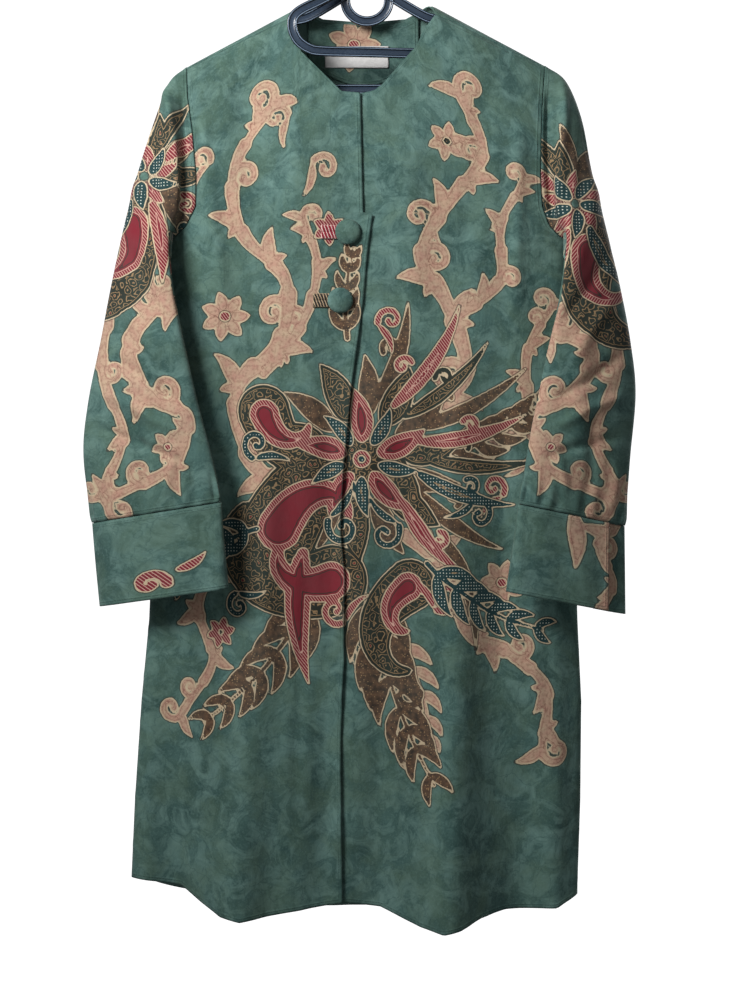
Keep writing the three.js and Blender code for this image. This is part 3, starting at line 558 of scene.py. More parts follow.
def front_design() -> Drawing:
    """The print of the two fronts, in the plane of the front.

    Returns:
        The drawing.
    """
    d = Drawing()
    x, z = -4.0, -560.0
    # Vines up both fronts, out to the sides and down.
    d.vine(((-70, -600), (-126, -560), (-138, -486), (-92, -436), (-86, -372), (-132, -322),
            (-146, -250), (-122, -190)), 10.2, leaves=9)
    d.vine(((-110, -470), (-70, -420), (-52, -360), (-66, -310)), 6.6, leaves=4, hand=-1)
    d.vine(((60, -520), (104, -470), (84, -396), (58, -344), (92, -284), (130, -236), (118, -178)), 10.0,
           leaves=9, hand=-1)
    d.vine(((96, -410), (140, -372), (142, -312), (168, -268)), 6.6, leaves=4)
    d.vine(((44, -640), (92, -672), (108, -736), (160, -762), (204, -800), (206, -862)), 9.2, leaves=7)
    d.vine(((-84, -640), (-148, -660), (-186, -712), (-170, -772), (-206, -826)), 8.0, leaves=5, hand=-1)
    d.vine(((128, -560), (172, -520), (170, -450), (196, -400)), 7.0, leaves=5)
    # Branches of narrow leaves.
    d.spray(Ink.STIPPLE, 6, -690, -84, 214, 8, 0.45)
    d.spray(Ink.STIPPLE, -56, -700, -118, 176, 7, -0.5)
    d.spray(Ink.TEAL, -112, -632, -168, 116, 6, 0.7)
    d.spray(Ink.TEAL, 62, -664, -46, 150, 6, 0.6)
    d.spray(Ink.STIPPLE, 84, -556, 16, 138, 7, 0.5)
    d.spray(Ink.VINE, 26, -742, -52, 126, 5, -0.6)
    d.spray(Ink.STIPPLE, -20, -438, 98, 96, 5, -0.4)
    # Long narrow leaves that fan out to one side.
    fan = ((78, 128, Ink.STIPPLE), (62, 150, Ink.CRIMSON), (47, 138, Ink.DARK), (33, 158, Ink.STIPPLE),
           (19, 140, Ink.CRIMSON), (4, 152, Ink.DARK), (-12, 132, Ink.TEAL), (-27, 142, Ink.STIPPLE),
           (-43, 120, Ink.CRIMSON))
    for k, (heading, length, ink) in enumerate(fan):
        a = math.radians(heading)
        d.leaf(ink, x + 58 * math.cos(a), z + 58 * math.sin(a), heading - 14, length * 0.84, 7.4,
               0.62)
        d.curl(ink, x + 112 * math.cos(a), z + 112 * math.sin(a), 9, heading + 50, 3.0,
               1 if k % 2 else -1)
    # A large double flower.
    d.rosette((Ink.DARK, Ink.STIPPLE), x, z, 44, 14, (62, 62), (15, 11), turn=8)
    d.rosette((Ink.CRIMSON, Ink.TEAL), x, z, 19, 10, (52, 40), (11.5, 7), 0.55, turn=20)
    d.flower(Ink.VINE, Ink.CRIMSON, x, z, 20, 8)
    d.add(Ink.CRIMSON, np.array(((x - 0.5, z, 8.5), (x + 0.5, z, 8.5))))
    d.add(Ink.TEAL, np.array(((x - 0.5, z, 3.2), (x + 0.5, z, 3.2))))
    # Paisleys round it, each with a smaller one set in.
    drops = ((-98, -640, 92, 62, -1), (-30, -686, 78, 196, -1), (-112, -506, 58, -70, 1),
             (52, -690, 56, 214, 1))
    for px, pz, size, heading, hand in drops:
        a = math.radians(heading)
        d.paisley(Ink.DARK, px, pz, size, heading, hand)
        d.paisley(Ink.CRIMSON, px + 5 * math.cos(a), pz + 5 * math.sin(a), size * 0.52, heading, hand)
    # Curls in the gaps, each with a leaf: x, z, size, turn, half width, dye, hand.
    for cx, cz, size, turn, width, ink, hand in (
            (-40, -620, 17, 250, 4.2, Ink.TEAL, 1), (34, -626, 15, 300, 3.6, Ink.TEAL, -1),
            (-22, -730, 14, 210, 3.6, Ink.CRIMSON, -1), (74, -716, 15, 330, 3.8, Ink.CRIMSON, 1),
            (-120, -560, 14, 160, 3.8, Ink.TEAL, -1), (-88, -520, 12, 110, 3.2, Ink.STIPPLE, 1),
            (118, -604, 14, 10, 3.6, Ink.TEAL, -1), (150, -600, 12, 60, 3.2, Ink.CRIMSON, 1),
            (-60, -250, 13, 60, 3.8, Ink.VINE, -1), (-98, -200, 12, 110, 3.6, Ink.VINE, 1),
            (70, -300, 13, 120, 3.6, Ink.VINE, 1), (-176, -250, 11, 80, 3.4, Ink.VINE, 1),
            (-140, -700, 12, 200, 3.2, Ink.TEAL, 1), (60, -800, 13, 280, 3.4, Ink.STIPPLE, -1),
            (176, -560, 11, 20, 3.2, Ink.VINE, -1), (12, -420, 12, 100, 3.2, Ink.CRIMSON, -1)):
        d.curl(ink, cx, cz, size, turn, width, hand)
        d.leaf(ink, cx, cz, turn + 150 * hand, size * 2.6, width * 0.9, hand)
    # Single leaves and small flowers.
    d.leaf(Ink.CRIMSON, -66, -650, -96, 138, 13, 0.55)
    d.leaf(Ink.STIPPLE, 84, -640, -64, 120, 8, -0.6)
    d.flower(Ink.VINE, Ink.CRIMSON, -150, -410, 22, 7)
    d.flower(Ink.CRIMSON, Ink.DARK, -40, -318, 15, 6, 30)
    d.flower(Ink.VINE, Ink.CRIMSON, 152, -690, 21, 7, 20)
    d.flower(Ink.VINE, Ink.DARK, 92, -226, 18, 6, 10)
    d.flower(Ink.CRIMSON, Ink.DARK, -160, -742, 14, 6, 12)
    return d


def back_design() -> Drawing:
    """The print of the back, in the plane of the back.

    Returns:
        The drawing.
    """
    d = Drawing()
    d.vine(((-40, -640), (-110, -560), (-84, -470), (-132, -380), (-96, -290), (-124, -200)), 8.4,
           leaves=9)
    d.vine(((50, -560), (112, -470), (84, -380), (128, -300), (104, -220)), 8.0, leaves=8, hand=-1)
    d.vine(((30, -700), (110, -730), (150, -800), (196, -840)), 6.8, leaves=6)
    d.vine(((-80, -720), (-150, -760), (-190, -840)), 6.4, leaves=5, hand=-1)
    d.spray(Ink.STIPPLE, 0, -740, -95, 190, 7, 0.4)
    d.spray(Ink.TEAL, -90, -660, -160, 120, 6, 0.5)
    d.rosette((Ink.DARK, Ink.STIPPLE), 8, -600, 30, 12, (70, 70), (13, 13))
    d.rosette((Ink.CRIMSON, Ink.TEAL), 8, -600, 10, 12, (40, 40), (7, 7), lean=15)
    d.paisley(Ink.DARK, -90, -660, 84, 60, -1)
    d.paisley(Ink.CRIMSON, -88, -656, 44, 60, -1)
    d.flower(Ink.VINE, Ink.CRIMSON, -14, -118, 24, 7)
    return d


def sleeve_design(side: Side) -> Drawing:
    """The print of a sleeve: x runs inwards from its outermost place, z down from the shoulder.

    Args:
        side: the wearer's side.

    Returns:
        The drawing.
    """
    d = Drawing()
    late = 0 if side is Side.RIGHT else 30
    x, z = 64, -118 - late
    d.vine(((132, -236 - late), (84, -254 - late), (48, -306), (72, -352), (112, -372), (96, -424),
            (40, -452)), 10.0, leaves=8)
    d.vine(((30, -250), (20, -320), (44, -392), (20, -450)), 7.0, leaves=4, hand=-1)
    d.vine(((-30, -120), (-62, -200), (-40, -290), (-70, -380)), 6.6, leaves=6, hand=-1)
    fan = ((-52, Ink.STIPPLE), (-74, Ink.CRIMSON), (-96, Ink.DARK), (-118, Ink.TEAL),
           (36, Ink.CRIMSON), (62, Ink.DARK), (84, Ink.STIPPLE))
    for k, (heading, ink) in enumerate(fan):
        a = math.radians(heading)
        d.leaf(ink, x + 26 * math.cos(a), z + 26 * math.sin(a), heading, 92 - 6 * k, 7.5, -0.5)
    d.rosette((Ink.DARK, Ink.STIPPLE), x, z, 20, 10, (46, 46), (10, 10))
    d.rosette((Ink.CRIMSON, Ink.TEAL), x, z, 7, 10, (28, 28), (6, 6), lean=18)
    d.paisley(Ink.DARK, 50, z - 44, 66, -78, -1)
    d.paisley(Ink.CRIMSON, 51, z - 48, 36, -78, -1)
    d.curl(Ink.TEAL, 92, z - 60, 11, -60, 3.4, 1)
    d.curl(Ink.CRIMSON, 104, z - 20, 10, 10, 3.2, -1)
    d.curl(Ink.VINE, 76, z - 104, 11, -120, 3.6, 1)
    d.flower(Ink.VINE, Ink.CRIMSON, 92, -404, 15, 6, 10)
    return d


def cuff_design(side: Side) -> Drawing:
    """The print of a cuff: x runs forwards from its outer edge, z down from its seam.

    Args:
        side: the wearer's side.

    Returns:
        The drawing.
    """
    d = Drawing()
    if side is Side.RIGHT:
        d.curl(Ink.CRIMSON, 78, -78, 11, 80, 4.4, 1)
        d.leaf(Ink.CRIMSON, 86, -62, 20, 26, 3.4, 0.8)
        d.vine(((-60, 6), (-30, -40), (-52, -100)), 6, leaves=3)
    else:
        d.vine(((24, 8), (50, -26), (34, -64), (60, -108)), 7.2, leaves=4)
        d.leaf(Ink.VINE, 76, 4, -100, 54, 6.5, 0.4)
    return d


# ---- Meshes
@dataclass
class Cloth:
    """A wall of cloth as two grids of points, with what its print needs.

    Attributes:
        outer: points of the face side, rows by columns, in mm.
        inner: points of the reverse, in mm.
        flat: place in the drawing of each point, in mm.
        seam: distance to the nearest sewn edge, in mm.
        wraps: True when the last column joins the first.
    """

    outer: Array
    inner: Array
    flat: Array
    seam: Array
    wraps: bool = False

    def faces(self) -> Array:
        """Both walls and the rims between them.

        Returns:
            Rows of four vertex numbers, the face side's vertices first.
        """
        rows, cols = self.outer.shape[:2]
        layer = rows * cols
        index = np.arange(layer).reshape(rows, cols)
        right = np.roll(index, -1, 1) if self.wraps else index[:, 1:]
        left = index if self.wraps else index[:, :-1]
        quads = np.stack((left[:-1], right[:-1], right[1:], left[1:]), -1).reshape(-1, 4)
        result = [quads, quads[:, ::-1] + layer]
        for row, turned in ((0, False), (rows - 1, True)):
            a, b = left[row], right[row]
            rim = np.stack((a, a + layer, b + layer, b), -1)
            result.append(rim[:, ::-1] if turned else rim)
        if not self.wraps:
            for col, turned in ((0, True), (cols - 1, False)):
                a, b = index[:-1, col], index[1:, col]
                rim = np.stack((a, a + layer, b + layer, b), -1)
                result.append(rim[:, ::-1] if turned else rim)
        return np.vstack(result)

    def area(self) -> float:
        """Measures the face side.

        Returns:
            Its area in square metres.
        """
        p = self.outer * MM
        if self.wraps:
            p = np.concatenate((p, p[:, :1]), 1)
        a, b = p[1:, 1:] - p[:-1, :-1], p[1:, :-1] - p[:-1, 1:]
        return float(np.linalg.norm(np.cross(a, b), axis=-1).sum() / 2)


def new_object(name: str, vertices: Array, faces: Array) -> Piece:
    """Makes a smooth mesh object.

    Args:
        name: its name.
        vertices: points in mm.
        faces: rows of vertex numbers; a number that repeats in a row counts once.

    Returns:
        The object, linked to the scene.
    """
    mesh = bpy.data.meshes.new(name)
    loops = [tuple(dict.fromkeys(f)) for f in faces.tolist()]
    mesh.from_pydata((vertices * MM).tolist(), [], loops)
    mesh.validate()
    mesh.shade_smooth()
    obj = bpy.data.objects.new(name, mesh)
    bpy.context.scene.collection.objects.link(obj)
    return obj


def point_values(obj: Piece, name: str, values: Array) -> None:
    """Stores a number, or a vector, at each vertex.

    Args:
        obj: the object.
        name: name of the attribute.
        values: one number or one vector for each vertex.
    """
    vector = values.ndim == 2
    layer = obj.data.attributes.new(name, "FLOAT_VECTOR" if vector else "FLOAT", "POINT")
    numbers = np.ascontiguousarray(values, np.float32).ravel()
    layer.data.foreach_set("vector" if vector else "value", numbers)


def cloth_object(name: str, cloth: Cloth, design: Drawing) -> Piece:
    """Makes a wall of cloth with its print's depths stored on it.

    Args:
        name: name of the object.
        cloth: its walls.
        design: its print.

    Returns:
        The object.
    """
    if outward_share(cloth) < 0:
        cloth = Cloth(cloth.outer[:, ::-1], cloth.inner[:, ::-1], cloth.flat[:, ::-1],
                      cloth.seam[:, ::-1], cloth.wraps)
    both = np.concatenate((cloth.outer.reshape(-1, 3), cloth.inner.reshape(-1, 3)))
    obj = new_object(name, both, cloth.faces())
    flat = cloth.flat.reshape(-1, 2)
    depths = design.depths(flat[:, 0], flat[:, 1])
    for ink, depth in depths.items():
        point_values(obj, ink.value, np.tile(depth, 2))
    place = np.column_stack((flat, np.zeros(len(flat))))
    point_values(obj, "flat", np.tile(place, (2, 1)))
    point_values(obj, "seam", np.tile(cloth.seam.ravel(), 2))
    point_values(obj, "reverse", np.repeat((0.0, 1.0), len(flat)))
    return obj


def outward_share(cloth: Cloth) -> float:
    """Positive where the grid's own normals point from the inner to the outer wall."""
    normals = grid_normals(cloth.outer, cloth.wraps)
    return -float(((cloth.outer - cloth.inner) * normals).sum())


def lathe(profile: Array, steps: int) -> tuple[Array, Array]:
    """Turns a profile about the Z axis.

    Args:
        profile: rows of radius and height in mm.
        steps: points round each ring.

    Returns:
        Vertices and quads.
    """
    angle = np.linspace(0, 2 * np.pi, steps, endpoint=False)
    ring = np.stack((np.cos(angle), np.sin(angle)), -1)
    rings = [np.column_stack((ring * radius, np.full(steps, height))) for radius, height in profile]
    points = np.concatenate(rings)
    index = np.arange(len(points)).reshape(len(profile), steps)
    nxt = np.roll(index, -1, 1)
    return points, np.stack((index[:-1], nxt[:-1], nxt[1:], index[1:]), -1).reshape(-1, 4)


def sweep(path: Array, section: Array, closed: bool = False) -> tuple[Array, Array]:
    """Sweeps a section along a path.

    Args:
        path: points in mm.
        section: rows of depth along Y, and height square to it.
        closed: True when the path returns to its start.

    Returns:
        Vertices and quads, with capped ends where the path is open.
    """
    way = unit(np.roll(path, -1, 0) - np.roll(path, 1, 0) if closed else np.gradient(path, axis=0))
    across = unit(np.cross(way, np.array((0.0, 1.0, 0.0))))
    depth = unit(np.cross(across, way))
    rings = (path[:, None] + depth[:, None] * section[None, :, :1]
             + across[:, None] * section[None, :, 1:])
    count, sides = rings.shape[:2]
    index = np.arange(count * sides).reshape(count, sides)
    after = np.roll(index, -1, 0) if closed else index[1:]
    first = index if closed else index[:-1]
    quads = np.stack((first, np.roll(first, -1, 1), np.roll(after, -1, 1), after), -1).reshape(-1, 4)
    points = rings.reshape(-1, 3)
    if not closed:
        for ring, turned in ((index[0], True), (index[-1], False)):
            middle = len(points)
            points = np.vstack((points, points[ring].mean(0)))
            hub = np.full(sides, middle)
            fan = np.stack((ring, np.roll(ring, -1), hub, hub), -1)
            quads = np.vstack((quads, fan[:, ::-1] if turned else fan))
    return points, quads


# ---- The garment's pieces
def armhole_rows(top: Array, hem: Array) -> Array:
    """Heights of the rows of a panel, from its top edge to its hem.

    Args:
        top: height of the top edge in each column.
        hem: height of the hem in each column.

    Returns:
        One row of heights for each row of the panel.
    """
    upper = np.linspace(0, 1, ROWS_ABOVE)[:, None] ** 1.5
    above = top * (1 - upper) + TAB_Z * upper
    step = np.array(UNDERARM_ROWS)[:, None] + 0 * top
    lower = np.linspace(0, 1, ROWS_BELOW)[:, None]
    return np.vstack((above, step, UNDERARM_Z * (1 - lower) + hem * lower))


def settle(value: Array, step: Callable[[Array], Array]) -> Array:
    """Repeats a step until heights and the x that depends on them agree.

    Args:
        value: the first guess.
        step: gives better heights for given ones.

    Returns:
        The heights.
    """
    z = value
    for _ in range(SETTLE_ROUNDS):
        z = step(z)
    return z


def pucker(seam: Array, along: Array, seed: float) -> Array:
    """Small waves that sewing draws into the cloth beside a seam.

    Args:
        seam: distance to the seam in mm.
        along: distance along it.
        seed: shifts the waves.

    Returns:
        The height of the waves in mm.
    """
    wave = np.sin(along / 4.3 + seed) + 0.6 * np.sin(along / 7.7 + seed * 2.3)
    return PUCKER_HEIGHT * wave * np.exp(-(seam / PUCKER_REACH) ** 1.4)


def run_length(points: Array, axis: int) -> Array:
    """Distance along a grid of points.

    Args:
        points: the grid.
        axis: 0 runs from the first row, 1 from the first column.

    Returns:
        The distance of each point, in mm.
    """
    step = np.linalg.norm(np.diff(points, axis=axis), axis=-1)
    pad = [(0, 0), (0, 0)]
    pad[axis] = (1, 0)
    return np.pad(np.cumsum(step, axis=axis), pad)


def walled(points: Array, sink: Array, facing: int, flat: Array, seam: Array) -> Cloth:
    """Makes the two walls of a panel whose side seams meet in the middle plane.

    Args:
        points: the body's surface.
        sink: how far the face side lies under that surface.
        facing: -1 for a front, 1 for a back.
        flat: place in the drawing of each point.
        seam: distance to the nearest sewn edge.

    Returns:
        The walls.
    """
    normals = grid_normals(points)
    normals *= np.sign((normals[..., 1] * facing).sum())
    outer = points - normals * sink[..., None]
    inner = outer - normals * CLOTH
    z = points[..., 2]
    for layer, extra in ((outer, 0.0), (inner, CLOTH)):
        y = layer[..., 1]
        own_half = (z < -90) & (points[..., 1] * facing >= 0)
        layer[..., 1] = np.where(own_half, facing * np.maximum(SEAM_GAP / 2, facing * y), y)
        for col in (0, -1):
            x = points[:, col, 0]
            sewn = (z[:, col] <= UNDERARM_Z + 0.01) & (np.abs(x) > 150)
            edge = np.stack((x - np.sign(x) * extra, facing * SEWN_GAP + 0 * x, z[:, col]), -1)
            layer[sewn, col] = edge[sewn]
    return Cloth(outer, inner, flat, seam)


@dataclass
class Front:
    """One of the two fronts.

    Attributes:
        side: the wearer's side.
        columns: columns of the mesh, without those close to the side seam.
        close_columns: shares of the width of the columns close to the side seam.
        neck: x from and to which the top edge is the neckline.
        tab_foot: height under which the free edge of the right front is loose.
        edge_lift: how far the free edge stands out, buttoned and loose.
        edge_ripple: how far the loose edge ripples.
        edge_reach: how far from the edge that goes, in mm.
        hidden: how far the left front's edge is counted as farther away, as it is hidden.
    """

    side: Side
    columns: int = 92
    close_columns: tuple[float, ...] = (0.975, 0.983, 0.989, 0.994, 0.998, 1)
    neck: tuple[float, float] = (-80, 72)
    tab_foot: float = -404
    edge_lift: tuple[float, float] = (0.9, 2.6)
    edge_ripple: float = 1.3
    edge_reach: float = 11
    hidden: float = 30

    def cloth(self) -> Cloth:
        """Lays the panel on the body.

        Returns:
            The panel's walls.
        """
        right = self.side is Side.RIGHT
        shares = np.concatenate((np.linspace(0, 0.965, self.columns), self.close_columns))

        def centre(z: Array) -> Array:
            """Where the panel's free edge is at a height."""
            return overlap_edge(z) - (0 if right else UNDERLAP)

        def x_at(z: Array) -> Array:
            """Where each column is at a height."""
            return centre(z) * (1 - shares) + outer_edge(z, self.side) * shares

        def top_of(z: Array) -> Array:
            """Height of the neckline or the shoulder seam where each column is."""
            x = x_at(z)
            seam = ridge_z(x) - np.interp(x, BACK_TOP[:, 0], BACK_TOP[:, 1]) ** 2 - SEAM_GAP
            in_neck = (x > self.neck[0]) & (x < self.neck[1])
            return np.where(in_neck, np.interp(x, NECKLINE[:, 0], NECKLINE[:, 1]), seam)

        top = settle(np.full(len(shares), TOP_GUESS), top_of)
        hem = settle(np.full(len(shares), HEM_GUESS),
                     lambda z: np.interp(x_at(z), HEM_FRONT[:, 0], HEM_FRONT[:, 1]))
        z = armhole_rows(top, hem)
        x = x_at(z)
        points = body_points(x, -np.sqrt(np.maximum(0, ridge_z(x) - z)))
        across = run_length(points, 1)
        sign = -1 if right else 1
        flat = np.stack((centre(z) + sign * across, z), -1)
        to_side = across[:, -1:] - across
        to_centre = across if right else across + self.hidden
        seam = np.minimum.reduce((to_centre, to_side, top - z, z - hem))
        if right:
            free = smooth((self.tab_foot - z) / 60)
            ripple = self.edge_ripple * free * np.sin(z / 41) * np.sin(z / 17 + 1)
            lift = self.edge_lift[0] + self.edge_lift[1] * free + ripple
            sink = -lift * np.exp(-(across / self.edge_reach) ** 2)
        else:
            past = (x - overlap_edge(z)) / UNDERLAP_EASE
            sink = (CAD_CLOTH + LAYER_GAP) * (1 - smooth(past - 0.08))
        sink = sink - np.where(to_side > 3, pucker(seam, z + x, 1.0), 0)
        sink = sink * smooth((to_side - 0.2) / 2)
        return walled(points, sink, -1, flat, seam)


@dataclass
class Back:
    """The back, cut whole and taken over the shoulders.

    Attributes:
        columns: columns of the mesh between the close ones beside the armholes.
        reach: x of the top edge's two ends.
        beside_right: x of the close columns beside the right armhole.
        beside_left: the same on the left.
        wrap_foot: root of the drop where the part over the shoulder ends.
        wrap_rows: rows of the part over the shoulder.
    """

    columns: int = 118
    reach: tuple[float, float] = (-191, 188)
    beside_right: tuple[float, ...] = (-191, -190.6, -190, -189, -187.5)
    beside_left: tuple[float, ...] = (184.5, 186, 187, 187.6, 188)
    wrap_foot: float = 4.6
    wrap_rows: int = 14

    def cloth(self) -> Cloth:
        """Lays the panel on the body.

        Returns:
            The panel's walls.
        """
        inner = np.linspace(-185, 182, self.columns)
        top_x = np.concatenate((self.beside_right, inner, self.beside_left))
        share = np.where(top_x < 0, top_x / self.reach[0], top_x / self.reach[1])

        def x_at(z: Array) -> Array:
            """Where each column is at a height."""
            return share * np.where(top_x < 0, outer_edge(z, Side.RIGHT), outer_edge(z, Side.LEFT))

        hem = settle(np.full(len(top_x), HEM_GUESS),
                     lambda z: np.interp(x_at(z), HEM_BACK[:, 0], HEM_BACK[:, 1]))
        top_root = np.interp(top_x, BACK_TOP[:, 0], BACK_TOP[:, 1])
        t = np.linspace(0, 1, self.wrap_rows)[:, None]
        wrap_root = top_root * (1 - t) + self.wrap_foot * t
        z_wrap = ridge_z(top_x) - wrap_root ** 2
        z_down = armhole_rows(ridge_z(top_x) - self.wrap_foot ** 2, hem)[1:]
        x = np.vstack((np.broadcast_to(top_x, z_wrap.shape), x_at(z_down)))
        root = np.vstack((wrap_root, np.sqrt(np.maximum(0, ridge_z(x_at(z_down)) - z_down))))
        points = body_points(x, root)
        down = run_length(points, 0)
        flat = np.stack((x, RIDGE_TOP_Z - down), -1)
        across = run_length(points, 1)
        seam = np.minimum.reduce((across, across[:, -1:] - across, down, down[-1:] - down))
        edge = np.minimum(across, across[:, -1:] - across)
        sink = -pucker(seam, points[..., 2] + x, 2.0)
        sink = sink * smooth((edge - 3) / 3) * smooth((down - 25) / 8)
        return walled(points, sink, 1, flat, seam)


def ring_points(rows: Array, angle: Array) -> Array:
    """Points of sleeve rings.

    Args:
        rows: one row for each ring, as in the tables of the sleeves.
        angle: 0 is the outer edge, 90 degrees the front and 180 the inner edge, in radians.

    Returns:
        Points in rings by angles.
    """
    outer = np.stack((rows[:, 0], rows[:, 2], rows[:, 1]), -1)
    inner = np.stack((rows[:, 3], rows[:, 5], rows[:, 4]), -1)
    centre, arm = (outer + inner) / 2, (outer - inner) / 2
    forwards = np.array((0, -1, 0)) + arm * (arm[:, 1:2] / (arm ** 2).sum(-1, keepdims=True))
    forwards = unit(forwards)
    bulge = np.where(np.sin(angle) > 0, rows[:, 6:7], rows[:, 7:8]) * np.sin(angle)
    return (centre[:, None] + arm[:, None] * np.cos(angle)[..., None]
            + forwards[:, None] * bulge[..., None])


def outwards(points: Array, wraps: bool) -> Array:
    """Unit normals of a tube's grid, turned away from its middle.

    Args:
        points: rings by columns.
        wraps: True when the last column joins the first.

    Returns:
        The normals.
    """
    normals = grid_normals(points, wraps)
    away = points - points.mean(1, keepdims=True)
    return normals * np.sign((normals * away).sum())


@dataclass
class Sleeve:
    """A sleeve from its armhole to its cuff's seam.

    Attributes:
        side: the wearer's side.
        columns: points round each ring.
        rows: rings.
        tip_z: height at which the shoulder ridge meets the armhole.
        stand_off: how far it stands away from the body, outwards and up.
        flat_top: height from which its drawing is measured.
        gather_length: how far the gathers reach from the cuff's seam.
        turning: how the seam's edge turns in under the cuff, as steps inwards and down.
    """

    side: Side
    columns: int = 120
    rows: int = 176
    tip_z: float = -144.7
    stand_off: tuple[float, float] = (0.75, 0.24)
    flat_top: float = -144
    gather_length: float = 46
    turning: tuple = ((1.3, 0.2), (2.9, 0.5), (3.3, 3.0), (3.3, 9.0))

    def cloth(self) -> Cloth:
        """Hangs the sleeve from the armhole and puts its creases and gathers in.

        Returns:
            The sleeve's walls.
        """
        rings = RIGHT_SLEEVE if self.side is Side.RIGHT else LEFT_SLEEVE
        rows = spline(rings, self.rows)
        rows[:, 8] = np.clip(rows[:, 8], 0, 1)
        angle = np.linspace(0, 2 * np.pi, self.columns, endpoint=False)
        angle = np.broadcast_to(angle, (self.rows, self.columns))
        points = ring_points(rows, angle)
        tip = float(ridge_z(outer_edge(np.array(self.tip_z), self.side)))
        z = UNDERARM_Z + (np.cos(angle[0]) + 1) / 2 * (tip - UNDERARM_Z)
        x = outer_edge(z, self.side)
        root = np.sqrt(np.maximum(0, ridge_z(x) - z)) * np.where(np.sin(angle[0]) > 0, -1, 1)
        rest = body_points(x, root) - ring_points(rings[:1].astype(float), angle[:1])[0]
        points = points + rest[None] * rows[:, 8][:, None, None]
        points[..., 0] += math.copysign(self.stand_off[0], rings[0, 0])
        points[..., 2] += self.stand_off[1]
        down = run_length(points, 0)
        across = points[..., 0] * -math.copysign(1, rings[0, 0])
        edge = across[:, :1]
        unrolled = np.where(np.sin(angle) >= -1e-6, across, 2 * edge - across) - edge.min()
        flat = np.stack((unrolled, points[..., 2] - self.flat_top), -1)
        to_cuff = down[-1:] - down
        seam = np.minimum(down, to_cuff)
        creases = SLEEVE_CREASES[self.side]
        front = smooth(np.sin(angle) * 3)
        rise = crease_height(creases, points[..., 0], points[..., 2]) * front
        behind = crease_height(creases, points[..., 0] * 0.99 + 4, points[..., 2] + 20)
        rise += behind * smooth(-np.sin(angle) * 3) * 0.6
        gather = smooth(1 - to_cuff / self.gather_length)
        waves = 1.1 * np.sin(angle * 15 + 0.7) + 0.7 * np.sin(angle * 23 + 2)
        rise += gather * waves * smooth(to_cuff / 6)
        rise *= 1.35 * smooth(down / 7) * smooth((to_cuff + 3) / 6)
        normals = outwards(points, True)
        outer = points + normals * rise[..., None]
        normals = outwards(outer, True)
        outer, normals, flat, seam = self.turned_in(outer, normals, flat, seam)
        return Cloth(outer, outer - normals * CLOTH, flat, seam, True)

    def turned_in(self, outer: Array, normals: Array, flat: Array,
                  seam: Array) -> tuple[Array, Array, Array, Array]:
        """Carries the last ring on inside the cuff, as the seam's turned edge.

        Args:
            outer: points of the face side.
            normals: their normals.
            flat: their places in the drawing.
            seam: their distances to the nearest sewn edge.

        Returns:
            The four grids with the turned rings added.
        """
        way = unit((outer[-1] - outer[-3]).mean(0))
        extra = [outer[-1] - normals[-1] * inwards + way * down for inwards, down in self.turning]
        count = len(extra)
        outer = np.concatenate((outer, np.stack(extra)))
        normals = np.concatenate((normals, np.repeat(normals[-1:], count, 0)))
        flat = np.concatenate((flat, np.repeat(flat[-1:], count, 0)))
        seam = np.concatenate((seam, np.zeros((count, seam.shape[1]))))
        return outer, normals, flat, seam


@dataclass
class Cuff:
    """A cuff that goes round once and ends under its own front end.

    Attributes:
        side: the wearer's side.
        columns: points from end to end.
        rows: points from its seam to its hem.
        slit_right: angle of the slit on the right cuff, in degrees.
        slit_left: the same on the left cuff.
        lap: how far its end runs on under its start, in degrees.
        half_round: half its length in the drawing.
    """

    side: Side
    columns: int = 170
    rows: int = 40
    slit_right: float = -40
    slit_left: float = 53
    lap: float = 14
    half_round: float = 142

    def cloth(self) -> Cloth:
        """Wraps the cuff round the sleeve's last ring.

        Returns:
            The cuff's walls.
        """
        right = self.side is Side.RIGHT
        top = (RIGHT_SLEEVE if right else LEFT_SLEEVE)[-1].astype(float)
        hem = RIGHT_CUFF_HEM if right else LEFT_CUFF_HEM
        drop = np.linspace(0, 1, self.rows)[:, None]
        rows = top * (1 - drop) + hem * drop
        share = np.linspace(0, 1, self.columns)
        slit = math.radians(self.slit_right if right else self.slit_left)
        angle = slit + share * (2 * np.pi + math.radians(self.lap))
        angle = np.broadcast_to(angle, (self.rows, self.columns))
        points = ring_points(rows, angle)
        along = ring_points(rows, angle + 0.04) - ring_points(rows, angle - 0.04)
        out = unit(np.cross(along, np.array((0, 0, -1.0))))
        outside = ring_points(rows, np.zeros((self.rows, 1)))
        inside = ring_points(rows, np.full((self.rows, 1), np.pi))
        middle = (outside + inside) / 2
        out *= np.sign((out * (points - middle)).sum())
        under = smooth((share - 0.86) / 0.1) * (2.2 + LAYER_GAP + 1.3 * smooth(drop * 5))
        wave = 0.8 * np.sin(angle * 5 + 1.2) * drop + 0.5 * np.sin(angle * 9 + drop * 3)
        lift = (1.0 + 1.1 * drop) * np.exp(-(share / 0.022) ** 2)
        wave = wave * smooth((0.85 - share) * 9) * smooth(share * 9)
        outer = points + out * (wave + lift - under)[..., None]
        outer[..., 2] -= 1.5 * SEAM_GAP * (1 - drop)
        down = run_length(outer, 0)
        across = run_length(outer, 1)
        round_ = (angle + np.pi) % (2 * np.pi) - np.pi
        flat = np.stack((round_ / np.pi * self.half_round, -down), -1)
        to_end = across[:, -1:] - across + 40 * (share < 0.5)
        seam = np.minimum.reduce((down, down[-1:] - down, across, to_end))
        return Cloth(outer, outer - out * CUFF_CLOTH, flat, seam)


